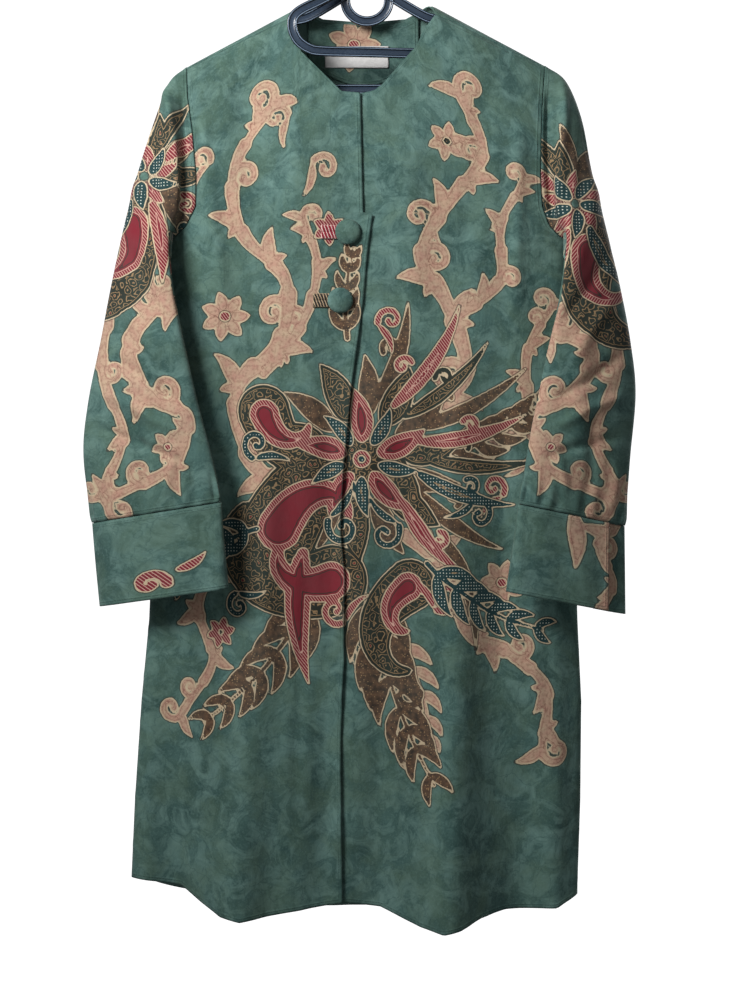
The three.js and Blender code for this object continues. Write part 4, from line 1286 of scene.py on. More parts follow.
def patch(left: float, right: float, top: Callable[[Array], Array],
          bottom: Callable[[Array], Array], facing: int, thickness: float, sink: float | Array,
          columns: int, rows: int) -> Cloth:
    """A patch that lies on the body between two edges.

    Args:
        left: x of its right-hand end for the wearer.
        right: x of the other end.
        top: gives the height of its top edge for an x.
        bottom: gives the height of its lower edge for an x.
        facing: -1 on the front, 1 on the back.
        thickness: its thickness.
        sink: how far it lies under the body's surface.
        columns: points across.
        rows: points down.

    Returns:
        The patch's walls.
    """
    x = np.broadcast_to(np.linspace(left, right, columns), (rows, columns))
    t = np.linspace(0, 1, rows)[:, None]
    z = top(x) * (1 - t) + bottom(x) * t
    root = facing * np.sqrt(np.maximum(0, ridge_z(x) - z))
    points = body_points(x, root)
    normals = grid_normals(points)
    normals *= np.sign((normals[..., 1] * facing).sum())
    outer = points - normals * np.broadcast_to(sink, x.shape)[..., None]
    seam = np.minimum.reduce((x - left, right - x, top(x) - z, z - bottom(x)))
    return Cloth(outer, outer - normals * thickness, np.stack((x, z), -1), seam)


# ---- Shaders
def linear(red: int, green: int, blue: int) -> tuple[float, float, float, float]:
    """An sRGB colour as linear RGBA.

    Args:
        red, green, blue: its parts, from 0 to 255.

    Returns:
        The linear colour, opaque.
    """
    parts = [c / 255 for c in (red, green, blue)]
    return (*[c / 12.92 if c <= 0.04045 else ((c + 0.055) / 1.055) ** 2.4 for c in parts], 1.0)


class Sock:
    """A number socket that does arithmetic by adding Math nodes."""

    def __init__(self, shader: "Shader", socket: Socket) -> None:
        """Wraps a socket.

        Args:
            shader: the material that it belongs to.
            socket: an output socket.
        """
        self.shader, self.socket = shader, socket

    def math(self, operation: str, *others: "Sock | float", clamp: bool = False) -> "Sock":
        """Adds a Math node with this socket first."""
        return self.shader.math(operation, self, *others, clamp=clamp)

    def __add__(self, other: "Sock | float") -> "Sock":
        """The sum."""
        return self.math("ADD", other)

    def __sub__(self, other: "Sock | float") -> "Sock":
        """The difference."""
        return self.math("SUBTRACT", other)

    def __mul__(self, other: "Sock | float") -> "Sock":
        """The product."""
        return self.math("MULTIPLY", other)

    def __truediv__(self, other: "Sock | float") -> "Sock":
        """The quotient."""
        return self.math("DIVIDE", other)

    def __rsub__(self, other: float) -> "Sock":
        """A number less this socket."""
        return self.shader.math("SUBTRACT", other, self)

    def __rtruediv__(self, other: float) -> "Sock":
        """A number over this socket."""
        return self.shader.math("DIVIDE", other, self)

    __radd__ = __add__
    __rmul__ = __mul__

    def above(self, level: float, soft: float = 0.3) -> "Sock":
        """0 below a level and 1 above it, with a soft step."""
        return ((self - level) / soft + 0.5).math("ADD", 0.0, clamp=True)

    def band(self, level: float, half: float, soft: float = 0.3) -> "Sock":
        """1 within half of a level and 0 outside, with soft sides."""
        return ((half - (self - level).math("ABSOLUTE")) / soft + 0.5).math("ADD", 0.0, clamp=True)

    def stripes(self, pitch: float, fill: float, soft: float = 0.08) -> "Sock":
        """Lines at a pitch, each a share of it wide."""
        wave = ((self / pitch).math("FRACT") - 0.5).math("ABSOLUTE") * 2
        return ((fill - wave) / soft + 0.5).math("ADD", 0.0, clamp=True)


# What an input of a node can be fed with.
Feed = Sock | Socket | float | tuple


class Shader:
    """A material under construction."""

    def __init__(self, name: str) -> None:
        """Starts a material with an empty tree.

        Args:
            name: the material's name, which is its slot.
        """
        self.material = bpy.data.materials.new(name)
        self.material.use_nodes = True
        self.tree = self.material.node_tree
        self.tree.nodes.clear()

    def node(self, kind: str, inputs: dict[str | int, Feed] | None = None,
             **settings: str | bool) -> bpy.types.Node:
        """Adds a node and fills its inputs with values or links.

        Args:
            kind: the node's type.
            inputs: a value or a socket for each input, by its name or number.
            settings: the node's own settings.

        Returns:
            The node.
        """
        node = self.tree.nodes.new(kind)
        for key, value in settings.items():
            setattr(node, key, value)
        for key, value in (inputs or {}).items():
            self.fill(node.inputs[key], value)
        return node

    def fill(self, target: Socket, value: Feed) -> None:
        """Sets or links one input.

        Args:
            target: the input.
            value: a value, or a socket to link.
        """
        if isinstance(value, Sock):
            value = value.socket
        if isinstance(value, Socket):
            self.tree.links.new(value, target)
        else:
            target.default_value = value

    def math(self, operation: str, *values: Sock | float, clamp: bool = False) -> Sock:
        """Adds a Math node."""
        node = self.node("ShaderNodeMath", dict(enumerate(values)), operation=operation,
                         use_clamp=clamp)
        return Sock(self, node.outputs[0])

    def mix(self, factor: Feed, a: Feed, b: Feed) -> Socket:
        """Mixes two colours.

        Args:
            factor: share of the second colour.
            a: the first colour.
            b: the second colour.

        Returns:
            The mixed colour.
        """
        node = self.node("ShaderNodeMix", data_type="RGBA", blend_type="MIX", clamp_factor=True)
        for index, value in ((0, factor), (6, a), (7, b)):
            self.fill(node.inputs[index], value)
        return node.outputs[2]

    def vector(self, operation: str, *values: Feed) -> Socket:
        """Adds a Vector Math node.

        Args:
            operation: what it does.
            values: its inputs in order; the second one of SCALE is its factor.

        Returns:
            The vector that comes out.
        """
        node = self.node("ShaderNodeVectorMath", operation=operation)
        for index, value in enumerate(values):
            self.fill(node.inputs[3 if operation == "SCALE" and index == 1 else index], value)
        return node.outputs[0]

    def attribute(self, name: str) -> Sock:
        """A number stored on the mesh."""
        return Sock(self, self.node("ShaderNodeAttribute", attribute_name=name).outputs["Fac"])

    def flat_place(self) -> tuple[Socket, Sock, Sock]:
        """The place in the drawing, in mm.

        Returns:
            The place as a vector, its x and its z.
        """
        flat = self.node("ShaderNodeAttribute", attribute_name="flat").outputs["Vector"]
        split = self.node("ShaderNodeSeparateXYZ", {0: flat})
        return flat, Sock(self, split.outputs[0]), Sock(self, split.outputs[1])

    def weave(self, x: Sock, z: Sock, rate: float) -> Sock:
        """The threads of a plain weave, that cross at a rate in radians per mm."""
        return x.math("MULTIPLY", rate).math("SINE") + z.math("MULTIPLY", rate).math("SINE")

    def noise(self, place: Socket, size: float, detail: float = 3,
              rough: float = 0.5, warp: float = 0) -> Sock:
        """Adds noise with values from 0 to 1.

        Args:
            place: where it is read.
            size: size of its features, in the units of the place.
            detail: how many finer layers it has.
            rough: how strong these are.
            warp: how far it is distorted.

        Returns:
            The noise.
        """
        node = self.node("ShaderNodeTexNoise", {"Vector": place, "Scale": 1 / size, "Detail": detail,
                                                "Roughness": rough, "Distortion": warp})
        return Sock(self, node.outputs[0])

    def cells(self, place: Socket, size: float, feature: str = "F1", random: float = 1.0) -> Sock:
        """Adds a field of scattered points.

        Args:
            place: where it is read.
            size: width of a cell.
            feature: which distance is given.
            random: how far the points are scattered, from 0 to 1.

        Returns:
            The distance in cell widths.
        """
        inputs = {"Vector": place, "Scale": 1 / size, "Randomness": random}
        node = self.node("ShaderNodeTexVoronoi", inputs, feature=feature)
        return Sock(self, node.outputs["Distance"])

    def warped(self, place: Socket, rate: float, detail: float, amount: float) -> Socket:
        """Moves places about with noise.

        Args:
            place: the places.
            rate: the noise's scale.
            detail: how many finer layers it has.
            amount: how far the places move.

        Returns:
            The moved places.
        """
        drift = self.node("ShaderNodeTexNoise", {"Vector": place, "Scale": rate, "Detail": detail})
        return self.vector("ADD", place, self.vector("SCALE", drift.outputs[1], amount))

    def bump(self, height: Sock, distance: float, under: Socket | None = None) -> Socket:
        """Adds a Bump node.

        Args:
            height: the relief, from 0 to 1.
            distance: how high 1 is, in metres.
            under: the normal that it lies on.

        Returns:
            The normal.
        """
        node = self.node("ShaderNodeBump", {"Height": height, "Distance": distance, "Strength": 1.0})
        if under is not None:
            self.fill(node.inputs["Normal"], under)
        return node.outputs[0]

    def finish(self, **inputs: Feed) -> Finish:
        """Adds the surface and closes the material.

        Args:
            inputs: the surface's inputs, with _ for each space in their names.

        Returns:
            The material.
        """
        named = {key.replace("_", " "): value for key, value in inputs.items()}
        surface = self.node("ShaderNodeBsdfPrincipled", named)
        out = self.node("ShaderNodeOutputMaterial", {"Surface": surface.outputs[0]})
        out.is_active_output = True
        return self.material


@dataclass(frozen=True)
class Batik:
    """Printed cotton: a mottled ground with a resist print over it.

    Attributes:
        name: the material slot.
        ground_light, ground, ground_warm, ground_deep: the dyes of the marbled ground.
        cream: the resist's outline.
        pink, rose: the vines and their fine lines.
        brown, brown_deep, tan: the pointed leaves, their shade and their points.
        olive: the dark leaves.
        crimson, blush: the crimson motifs and their fine lines.
        navy, white: the teal motifs and their dots.
        stitch_pitch: distance between stitches in mm.
        stitch_inset: distance of the stitches from the edge.
        weave_rate: how close the threads lie, in radians per mm.
    """

    name: str = "batik_cloth"
    ground_light: tuple = linear(114, 146, 138)
    ground: tuple = linear(80, 112, 106)
    ground_warm: tuple = linear(84, 108, 88)
    ground_deep: tuple = linear(44, 74, 70)
    cream: tuple = linear(206, 184, 152)
    pink: tuple = linear(190, 145, 126)
    rose: tuple = linear(128, 84, 68)
    brown: tuple = linear(112, 82, 60)
    brown_deep: tuple = linear(58, 42, 34)
    olive: tuple = linear(38, 38, 30)
    tan: tuple = linear(164, 132, 94)
    crimson: tuple = linear(126, 23, 40)
    blush: tuple = linear(214, 168, 152)
    navy: tuple = linear(18, 50, 54)
    white: tuple = linear(202, 208, 196)
    stitch_pitch: float = 2.6
    stitch_inset: float = 3.4
    weave_rate: float = 7.5

    def material(self) -> Finish:
        """Builds the material.

        Returns:
            The material.
        """
        s = Shader(self.name)
        flat, x, z = s.flat_place()
        hand = s.noise(flat, 7, 2) - 0.5
        depth = {ink: s.attribute(ink.value) + hand * 1.5 for ink in Ink}

        colour = self.ground_colour(s, flat)
        fills = {Ink.VINE: lambda inside: self.vine_fill(s, flat, inside),
                 Ink.STIPPLE: lambda inside: self.stipple_fill(s, flat),
                 Ink.DARK: lambda inside: self.dark_fill(s, flat, inside),
                 Ink.CRIMSON: lambda inside: self.crimson_fill(s, x, z, inside),
                 Ink.TEAL: lambda inside: self.teal_fill(s, flat, inside)}
        for ink, fill in fills.items():
            colour = self.outlined(s, colour, depth[ink], fill(depth[ink]))

        fade = s.noise(flat, 46, 3, 0.6)
        colour = s.mix(fade.above(0.5, 0.6) * 0.2, colour, self.ground)
        reverse = s.attribute("reverse").above(0.5, 0.2)
        pale = s.mix(0.52, colour, self.ground_light)
        colour = s.mix(reverse, colour, pale)
        seam = s.attribute("seam")
        thread = (x + z).stripes(self.stitch_pitch, 0.6) * seam.band(self.stitch_inset, 0.28, 0.3)
        colour = s.mix(thread * 0.55, colour, self.ground_deep)
        # Painted shade: the cloth is darkened within about a millimetre of each sewn edge, hem and free
        # edge, for the shadow in seams and along edges.
        edge_shade = s.mix(0.35, colour, self.ground_deep)
        colour = s.mix(seam.above(0.9, 0.8) * -1.0 + 1.0, colour, edge_shade)

        weave = s.weave(x, z, self.weave_rate) * 0.25
        slub = s.noise(s.vector("MULTIPLY", flat, (1.0, 0.12, 1.0)), 1.3, 2)
        soft = s.noise(s.vector("MULTIPLY", flat, (1.0, 0.34, 1.0)), 17, 4, 0.55, 0.5)
        crumple = s.noise(s.vector("MULTIPLY", flat, (1.0, 0.6, 1.0)), 5.5, 3, 0.5, 0.3)
        normal = s.bump(soft, 1.15 * MM)
        normal = s.bump(crumple, 0.34 * MM, normal)
        normal = s.bump(seam.band(4.4, 0.7, 1.2) * -1.0 + thread * 0.5, 0.25 * MM, normal)
        normal = s.bump(weave * 0.6 + slub * 0.8, 0.07 * MM, normal)
        return s.finish(Base_Color=colour, Roughness=0.82 + (soft - 0.5) * 0.2, Normal=normal,
                        Specular_IOR_Level=0.22, Sheen_Weight=0.12, Sheen_Roughness=0.5)

    def ground_colour(self, s: Shader, flat: Socket) -> Socket:
        """The marbled dye between the motifs.

        Args:
            s: the material.
            flat: the place in the drawing.

        Returns:
            The colour.
        """
        cloud = s.noise(flat, 64, 5, 0.62, 0.6)
        marble = s.noise(flat, 27, 6, 0.66, 1.1)
        tint = s.noise(s.vector("ADD", flat, (300.0, 90.0, 0.0)), 44, 4, 0.6, 0.5)
        speck = s.noise(flat, 2.6, 2, 0.6)
        colour = s.mix(cloud.above(0.5, 0.24) * 0.95, self.ground, self.ground_deep)
        colour = s.mix(marble.above(0.54, 0.2) * 0.68, colour, self.ground_light)
        colour = s.mix(marble.band(0.45, 0.012, 0.04) * 0.55, colour, self.ground_deep)
        colour = s.mix(tint.above(0.52, 0.22) * 0.5, colour, self.ground_warm)
        crack = s.cells(s.warped(flat, 0.09, 3.0, 16.0), 27, "DISTANCE_TO_EDGE")
        colour = s.mix((1.0 - crack.above(0.014, 0.022)) * 0.4, colour, self.ground_deep)
        return s.mix(speck.above(0.6, 0.2) * 0.22, colour, self.ground_light)

    def outlined(self, s: Shader, under: Feed, depth: Sock, fill: Feed) -> Socket:
        """Lays a motif over what is under it, with the resist's pale outline round it.

        Args:
            s: the material.
            under: the colour under it.
            depth: depth inside the motif in mm.
            fill: the motif's own colour.

        Returns:
            The colour.
        """
        colour = s.mix(depth.band(-1.6, 0.5, 0.5) * 0.75, under, self.brown_deep)
        colour = s.mix(depth.above(-1.0, 0.4), colour, self.cream)
        return s.mix(depth.above(0.15, 0.35), colour, fill)

    def vine_fill(self, s: Shader, flat: Socket, depth: Sock) -> Socket:
        """Pale pink with a thin rose line inside.

        Args:
            s: the material.
            flat: the place in the drawing.
            depth: depth inside the motif in mm.

        Returns:
            The colour.
        """
        blotch = s.noise(flat, 9, 3)
        fill = s.mix(blotch.above(0.52, 0.4) * 0.7, self.pink, self.cream)
        fill = s.mix(s.noise(flat, 3.2, 2).above(0.56, 0.16) * 0.4, fill, self.rose)
        return s.mix(depth.band(1.7, 0.2, 0.35) * 0.8, fill, self.rose)

    def stipple_fill(self, s: Shader, flat: Socket) -> Socket:
        """Brown with darker and paler points.

        Args:
            s: the material.
            flat: the place in the drawing.

        Returns:
            The colour.
        """
        fill = s.mix(s.noise(flat, 6, 2).above(0.5, 0.4), self.brown, self.brown_deep)
        points = s.cells(flat, 2.5, random=0.7)
        return s.mix(1.0 - points.above(0.24, 0.08), fill, self.tan)

    def dark_fill(self, s: Shader, flat: Socket, depth: Sock) -> Socket:
        """Olive black with tan rings and scrolls.

        Args:
            s: the material.
            flat: the place in the drawing.
            depth: depth inside the motif in mm.

        Returns:
            The colour.
        """
        warped = s.warped(flat, 0.12, 1.0, 9.0)
        ring = s.cells(warped, 10.5, random=0.75).stripes(0.27, 0.24, 0.12)
        fill = s.mix(ring * depth.above(4.2, 0.5) * 0.85, self.olive, self.tan)
        fill = s.mix(depth.band(3.2, 0.3, 0.4), fill, self.tan)
        heart = 1.0 - s.cells(warped, 10.5, random=0.75).above(0.1, 0.05)
        return s.mix(heart * depth.above(5, 0.5), fill, self.crimson)

    def crimson_fill(self, s: Shader, x: Sock, z: Sock, depth: Sock) -> Socket:
        """Crimson with fine pale hatching along its border and an open heart.

        Args:
            s: the material.
            x: place across the drawing.
            z: height in the drawing.
            depth: depth inside the motif in mm.

        Returns:
            The colour.
        """
        hatch = (x * 0.8 + z * 0.6).stripes(2.5, 0.3, 0.12)
        fill = s.mix(hatch * (1.0 - depth.above(5.2, 0.5)) * 0.85, self.crimson, self.blush)
        fill = s.mix(depth.band(5.8, 0.35, 0.4), fill, self.blush)
        return s.mix(depth.band(8.4, 0.5, 0.5) * 0.9, fill, self.olive)

    def teal_fill(self, s: Shader, flat: Socket, depth: Sock) -> Socket:
        """Deep teal with rows of white dots.

        Args:
            s: the material.
            flat: the place in the drawing.
            depth: depth inside the motif in mm.

        Returns:
            The colour.
        """
        dots = s.cells(flat, 3.3, random=0.12)
        fill = s.mix((1.0 - dots.above(0.2, 0.06)) * depth.above(1.6, 0.3), self.navy, self.white)
        return s.mix(depth.band(6.2, 0.3, 0.4), fill, self.tan)


@dataclass(frozen=True)
class Trim:
    """Plain or striped trim cloth.

    Attributes:
        name: the material slot.
        base: its colour.
        line: the colour of its fine lines.
        pitch: distance between the lines in mm, 0 for none.
        rough: its roughness.
        weave_rate: how close the threads lie, in radians per mm.
    """

    name: str
    base: tuple
    line: tuple
    pitch: float
    rough: float = 0.85
    weave_rate: float = 9.0

    def material(self) -> Finish:
        """Builds the material.

        Returns:
            The material.
        """
        s = Shader(self.name)
        flat, x, z = s.flat_place()
        blotch = s.noise(flat, 5, 3)
        shade = tuple(c * 0.55 for c in self.base[:3]) + (1.0,)
        colour = s.mix(blotch.above(0.5, 0.5) * 0.35, self.base, shade)
        if self.pitch:
            lines = (x + z * 0.35 + blotch * 1.4).stripes(self.pitch, 0.3, 0.15)
            colour = s.mix(lines * 0.9, colour, self.line)
        seam = s.attribute("seam")
        colour = s.mix((1.0 - seam.above(0.5, 0.8)) * 0.5, colour, self.line)
        weave = s.weave(x, z, self.weave_rate) * 0.5
        normal = s.bump(s.noise(flat, 6, 2), 0.5 * MM)
        normal = s.bump(weave, 0.05 * MM, normal)
        return s.finish(Base_Color=colour, Roughness=self.rough, Normal=normal, Specular_IOR_Level=0.3,
                        Sheen_Weight=0.08)


@dataclass(frozen=True)
class Plastic:
    """Moulded plastic with a faint flow in its gloss, with a painted highlight and painted shade across
    its band.

    Attributes:
        name: the material slot.
        base, deep: its colour and a darker one that flows through it.
        rim: a painted highlight along the faces of its flanges.
        shade: painted shade in the step between its web and flanges and on its outer edges.
    """

    name: str = "hanger_plastic"
    base: tuple = linear(72, 90, 112)
    deep: tuple = linear(48, 62, 80)
    rim: tuple = linear(146, 164, 184)
    shade: tuple = linear(13, 17, 25)

    def material(self) -> Finish:
        """Builds the material.

        Returns:
            The material.
        """
        s = Shader(self.name)
        place = s.node("ShaderNodeTexCoord").outputs["Object"]
        flow = s.noise(place, 0.05, 3, 0.5, 0.6)
        scuff = s.noise(s.vector("MULTIPLY", place, (1.0, 1.0, 5.0)), 0.004, 3, 0.6)
        normal = s.bump(s.noise(place, 0.0016, 2), 0.03 * MM)
        normal = s.bump(flow, 0.5 * MM, normal)
        rise = s.attribute("rise")
        tone = s.mix(flow.above(0.5, 0.6), self.base, self.deep)
        # Painted highlight: a light band along the faces of the flanges.
        tone = s.mix(rise.band(3.95, 0.25, 0.3) * 0.8, tone, self.rim)
        # Painted shade: dark in the step between web and flanges and on the band's outer edges.
        hollow_shade = rise.band(2.95, 0.5, 0.4) + rise.above(4.5, 0.5)
        return s.finish(Base_Color=s.mix(hollow_shade, tone, self.shade),
                        Roughness=0.27 + scuff.above(0.6, 0.2) * 0.14, Normal=normal,
                        Specular_IOR_Level=0.55, Coat_Weight=0.15, Coat_Roughness=0.2)


@dataclass(frozen=True)
class Studio:
    """The plain backdrop's finish."""

    tone: tuple = (0.93, 0.93, 0.93, 1.0)

    def material(self) -> Finish:
        """Builds the material.

        Returns:
            The material.
        """
        s = Shader("studio")
        return s.finish(Base_Color=self.tone, Roughness=0.9, Emission_Color=(1.0, 1.0, 1.0, 1.0),
                        Emission_Strength=1.0)


# ---- Sub-assemblies
def dress(obj: Piece, node: str, material: Finish) -> Piece:
    """Gives a piece its finish, lets it ride on the body, and hides the node that it stands for.

    Args:
        obj: the piece.
        node: the node that it stands for.
        material: its finish.

    Returns:
        The piece.
    """
    obj.data.materials.append(material)
    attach(obj, "root")
    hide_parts(node)
    LOG.info("%s stands for %s", obj.name, node)
    return obj


@dataclass
class Garment:
    """The sewn pieces: panels, sleeves, cuffs, facing and label.

    Attributes:
        batik: finish of the cloth.
        label: finish of the label.
        facing_x: x of the facing's two ends.
        facing_foot: height of the facing's lowest place, and how far its ends are above it.
        label_x: x of the label's two ends.
        label_z: heights of its top and its foot.
        label_thickness: its thickness.
    """

    batik: Finish
    label: Finish
    facing_x: tuple[float, float] = (-63, 55)
    facing_foot: tuple[float, float] = (-161, 26)
    label_x: tuple[float, float] = (-45, 23)
    label_z: tuple[float, float] = (-119, -142)
    label_thickness: float = 0.8

    def build(self) -> None:
        """Builds and dresses every sewn piece."""
        sheets = {
            "front_right": (Front(Side.RIGHT).cloth(), front_design(), ("back",)),
            "front_left": (Front(Side.LEFT).cloth(), front_design(), ("back",)),
            "back": (Back().cloth(), back_design(), ("hanger",)),
            "sleeve_right": (Sleeve(Side.RIGHT).cloth(), sleeve_design(Side.RIGHT),
                             ("back", "front_right")),
            "sleeve_left": (Sleeve(Side.LEFT).cloth(), sleeve_design(Side.LEFT),
                            ("back", "front_left")),
            "cuff_right": (Cuff(Side.RIGHT).cloth(), cuff_design(Side.RIGHT), ("sleeve_right",)),
            "cuff_left": (Cuff(Side.LEFT).cloth(), cuff_design(Side.LEFT), ("sleeve_left",)),
        }
        trims = self.trims()
        for node, (cloth, design, rests) in sheets.items():
            obj = dress(cloth_object(node + "_cloth", cloth, design), node, self.batik)
            closed = cloth.outer
            if cloth.wraps:
                closed = np.concatenate((closed, closed[:, :1]), 1)
            width = float(run_length(closed, 1)[:, -1].max()) * MM
            length = float(run_length(closed, 0)[-1].max()) * MM
            area = min(cloth.area(), width * length)
            with_pieces = trims if node == "back" else []
            LOG.info("%s: flat %.3f x %.3f m, area %.4f m2", node, width, length, area)

    def trims(self) -> list[Piece]:
        """Builds the facing inside the back neck and the bare label on it.

        Returns:
            Both pieces, which ride on the back.
        """
        sink = CAD_CLOTH + LAYER_GAP + 0.25
        left, right = self.facing_x
        middle = (left + right) / 2
        foot, rise = self.facing_foot

        def below_seam(x: Array) -> Array:
            """Height of the facing's top edge, just under the neckline's."""
            return ridge_z(x) - np.interp(x, BACK_TOP[:, 0], BACK_TOP[:, 1]) ** 2 - 2.5

        def curved_foot(x: Array) -> Array:
            """Height of the facing's lower edge."""
            return foot + rise * ((x - middle) / (right - middle)) ** 2

        facing = patch(left, right, below_seam, curved_foot, 1, TRIM_CLOTH, sink, 70, 50)
        facing = Cloth(facing.inner, facing.outer, facing.flat, facing.seam)
        high, low = self.label_z
        label = patch(*self.label_x, lambda x: high + 0 * x, lambda x: low + 0 * x, 1,
                      self.label_thickness, sink + TRIM_CLOTH + LAYER_GAP, 50, 20)
        facing_piece = cloth_object("back_neck_facing_cloth", facing, back_design())
        dress(facing_piece, "back_neck_facing", self.batik)
        label_piece = cloth_object("neck_label_satin", label, Drawing())
        dress(label_piece, "neck_label", self.label)
        return [facing_piece, label_piece]


@dataclass
class Fastenings:
    """The covered buttons and the lips of their bound buttonholes.

    Attributes:
        cloth: finish of the buttons.
        lips: finish of each buttonhole's lips.
        length: length of a buttonhole with its lips.
        height: height of both lips together.
        grid: rows and columns of the lips.
        beyond: how far the lips start beyond the button's edge.
        gathers: how many gathers a button's cover has round it.
        gather_height: how high they are.
        print_shift: place in the drawing that a button's cover is cut from, to one side.
    """

    cloth: Finish
    lips: dict[str, Finish]
    length: float = 30.0
    height: float = 14.5
    grid: tuple[int, int] = (33, 60)
    beyond: float = 15
    gathers: int = 19
    gather_height: float = 0.16
    print_shift: float = 400

    def build(self) -> None:
        """Builds and dresses both fastenings."""
        for name, (x, z) in BUTTONS.items():
            dress(self.lip(name, x, z), f"buttonhole_{name}", self.lips[name])
            dress(self.button(name, x, z), f"button_{name}", self.cloth)

    def lip(self, name: str, x: float, z: float) -> Piece:
        """Makes two padded lips that meet at the slit.

        Args:
            name: the fastening.
            x, z: the middle of its button.

        Returns:
            The lips.
        """
        left = x - BUTTON_RADIUS - self.beyond
        rows, cols = self.grid
        t = np.linspace(-1, 1, rows)[:, None]
        along = np.linspace(0, self.length, cols)
        end = np.minimum(along, self.length - along)
        roll = np.sqrt(np.clip(1 - (np.abs(t) * 2 - 1) ** 2, 0, 1)) * np.clip(end / 1.6, 0, 1) ** 0.5
        sink = -(LAYER_GAP + TRIM_CLOTH + 1.0 * roll)
        cloth = patch(left, left + self.length, lambda v: z + self.height / 2 + 0 * v,
                      lambda v: z - self.height / 2 + 0 * v, -1, TRIM_CLOTH, sink, cols, rows)
        return cloth_object(f"buttonhole_{name}_lips", cloth, Drawing())

    def button(self, name: str, x: float, z: float) -> Piece:
        """Makes a dome whose cover is gathered under its rim.

        Args:
            name: the fastening.
            x, z: the middle of the button.

        Returns:
            The button.
        """
        rim = BUTTON_HEIGHT * 0.3
        turn = np.linspace(0, np.pi / 2, 16)
        rise = rim + (BUTTON_HEIGHT - rim) * np.sin(turn)
        dome = np.column_stack((BUTTON_RADIUS * np.cos(turn), rise))
        dome[-1, 0] = 0.04
        profile = np.vstack(((0.04, 0), (BUTTON_RADIUS - 1.6, 0), (BUTTON_RADIUS - 0.5, 0.8),
                             (BUTTON_RADIUS - 0.1, 1.5), dome))
        points, faces = lathe(profile, 72)
        angle = np.arctan2(points[:, 1], points[:, 0])
        radius = np.hypot(points[:, 0], points[:, 1])
        waves = np.sin(angle * self.gathers + 0.6) * np.clip((radius - 8) / 5, 0, 1)
        points[:, 2] += self.gather_height * waves
        xs, zs = np.array((x - 1, x + 1, x, x)), np.array((z, z, z - 1, z + 1))
        around = body_points(xs, -np.sqrt(ridge_z(xs) - zs))
        normal = Vector(np.cross(around[1] - around[0], around[3] - around[2])).normalized()
        normal = normal if normal.y < 0 else -normal
        turn_to = np.array(Vector((0, 0, 1)).rotation_difference(normal).to_matrix())
        placed = points @ turn_to.T + around.mean(0) + np.array(normal) * (2 * LAYER_GAP + 1.1)
        obj = new_object(f"button_{name}_cover", placed, faces)
        flat = placed[:, [0, 2]] + (self.print_shift, 0)
        for ink, depth in front_design().depths(flat[:, 0], flat[:, 1]).items():
            point_values(obj, ink.value, depth)
        point_values(obj, "flat", np.column_stack((flat, np.zeros(len(flat)))))
        point_values(obj, "seam", np.full(len(flat), 30.0))
        point_values(obj, "reverse", np.zeros(len(flat)))
        return obj


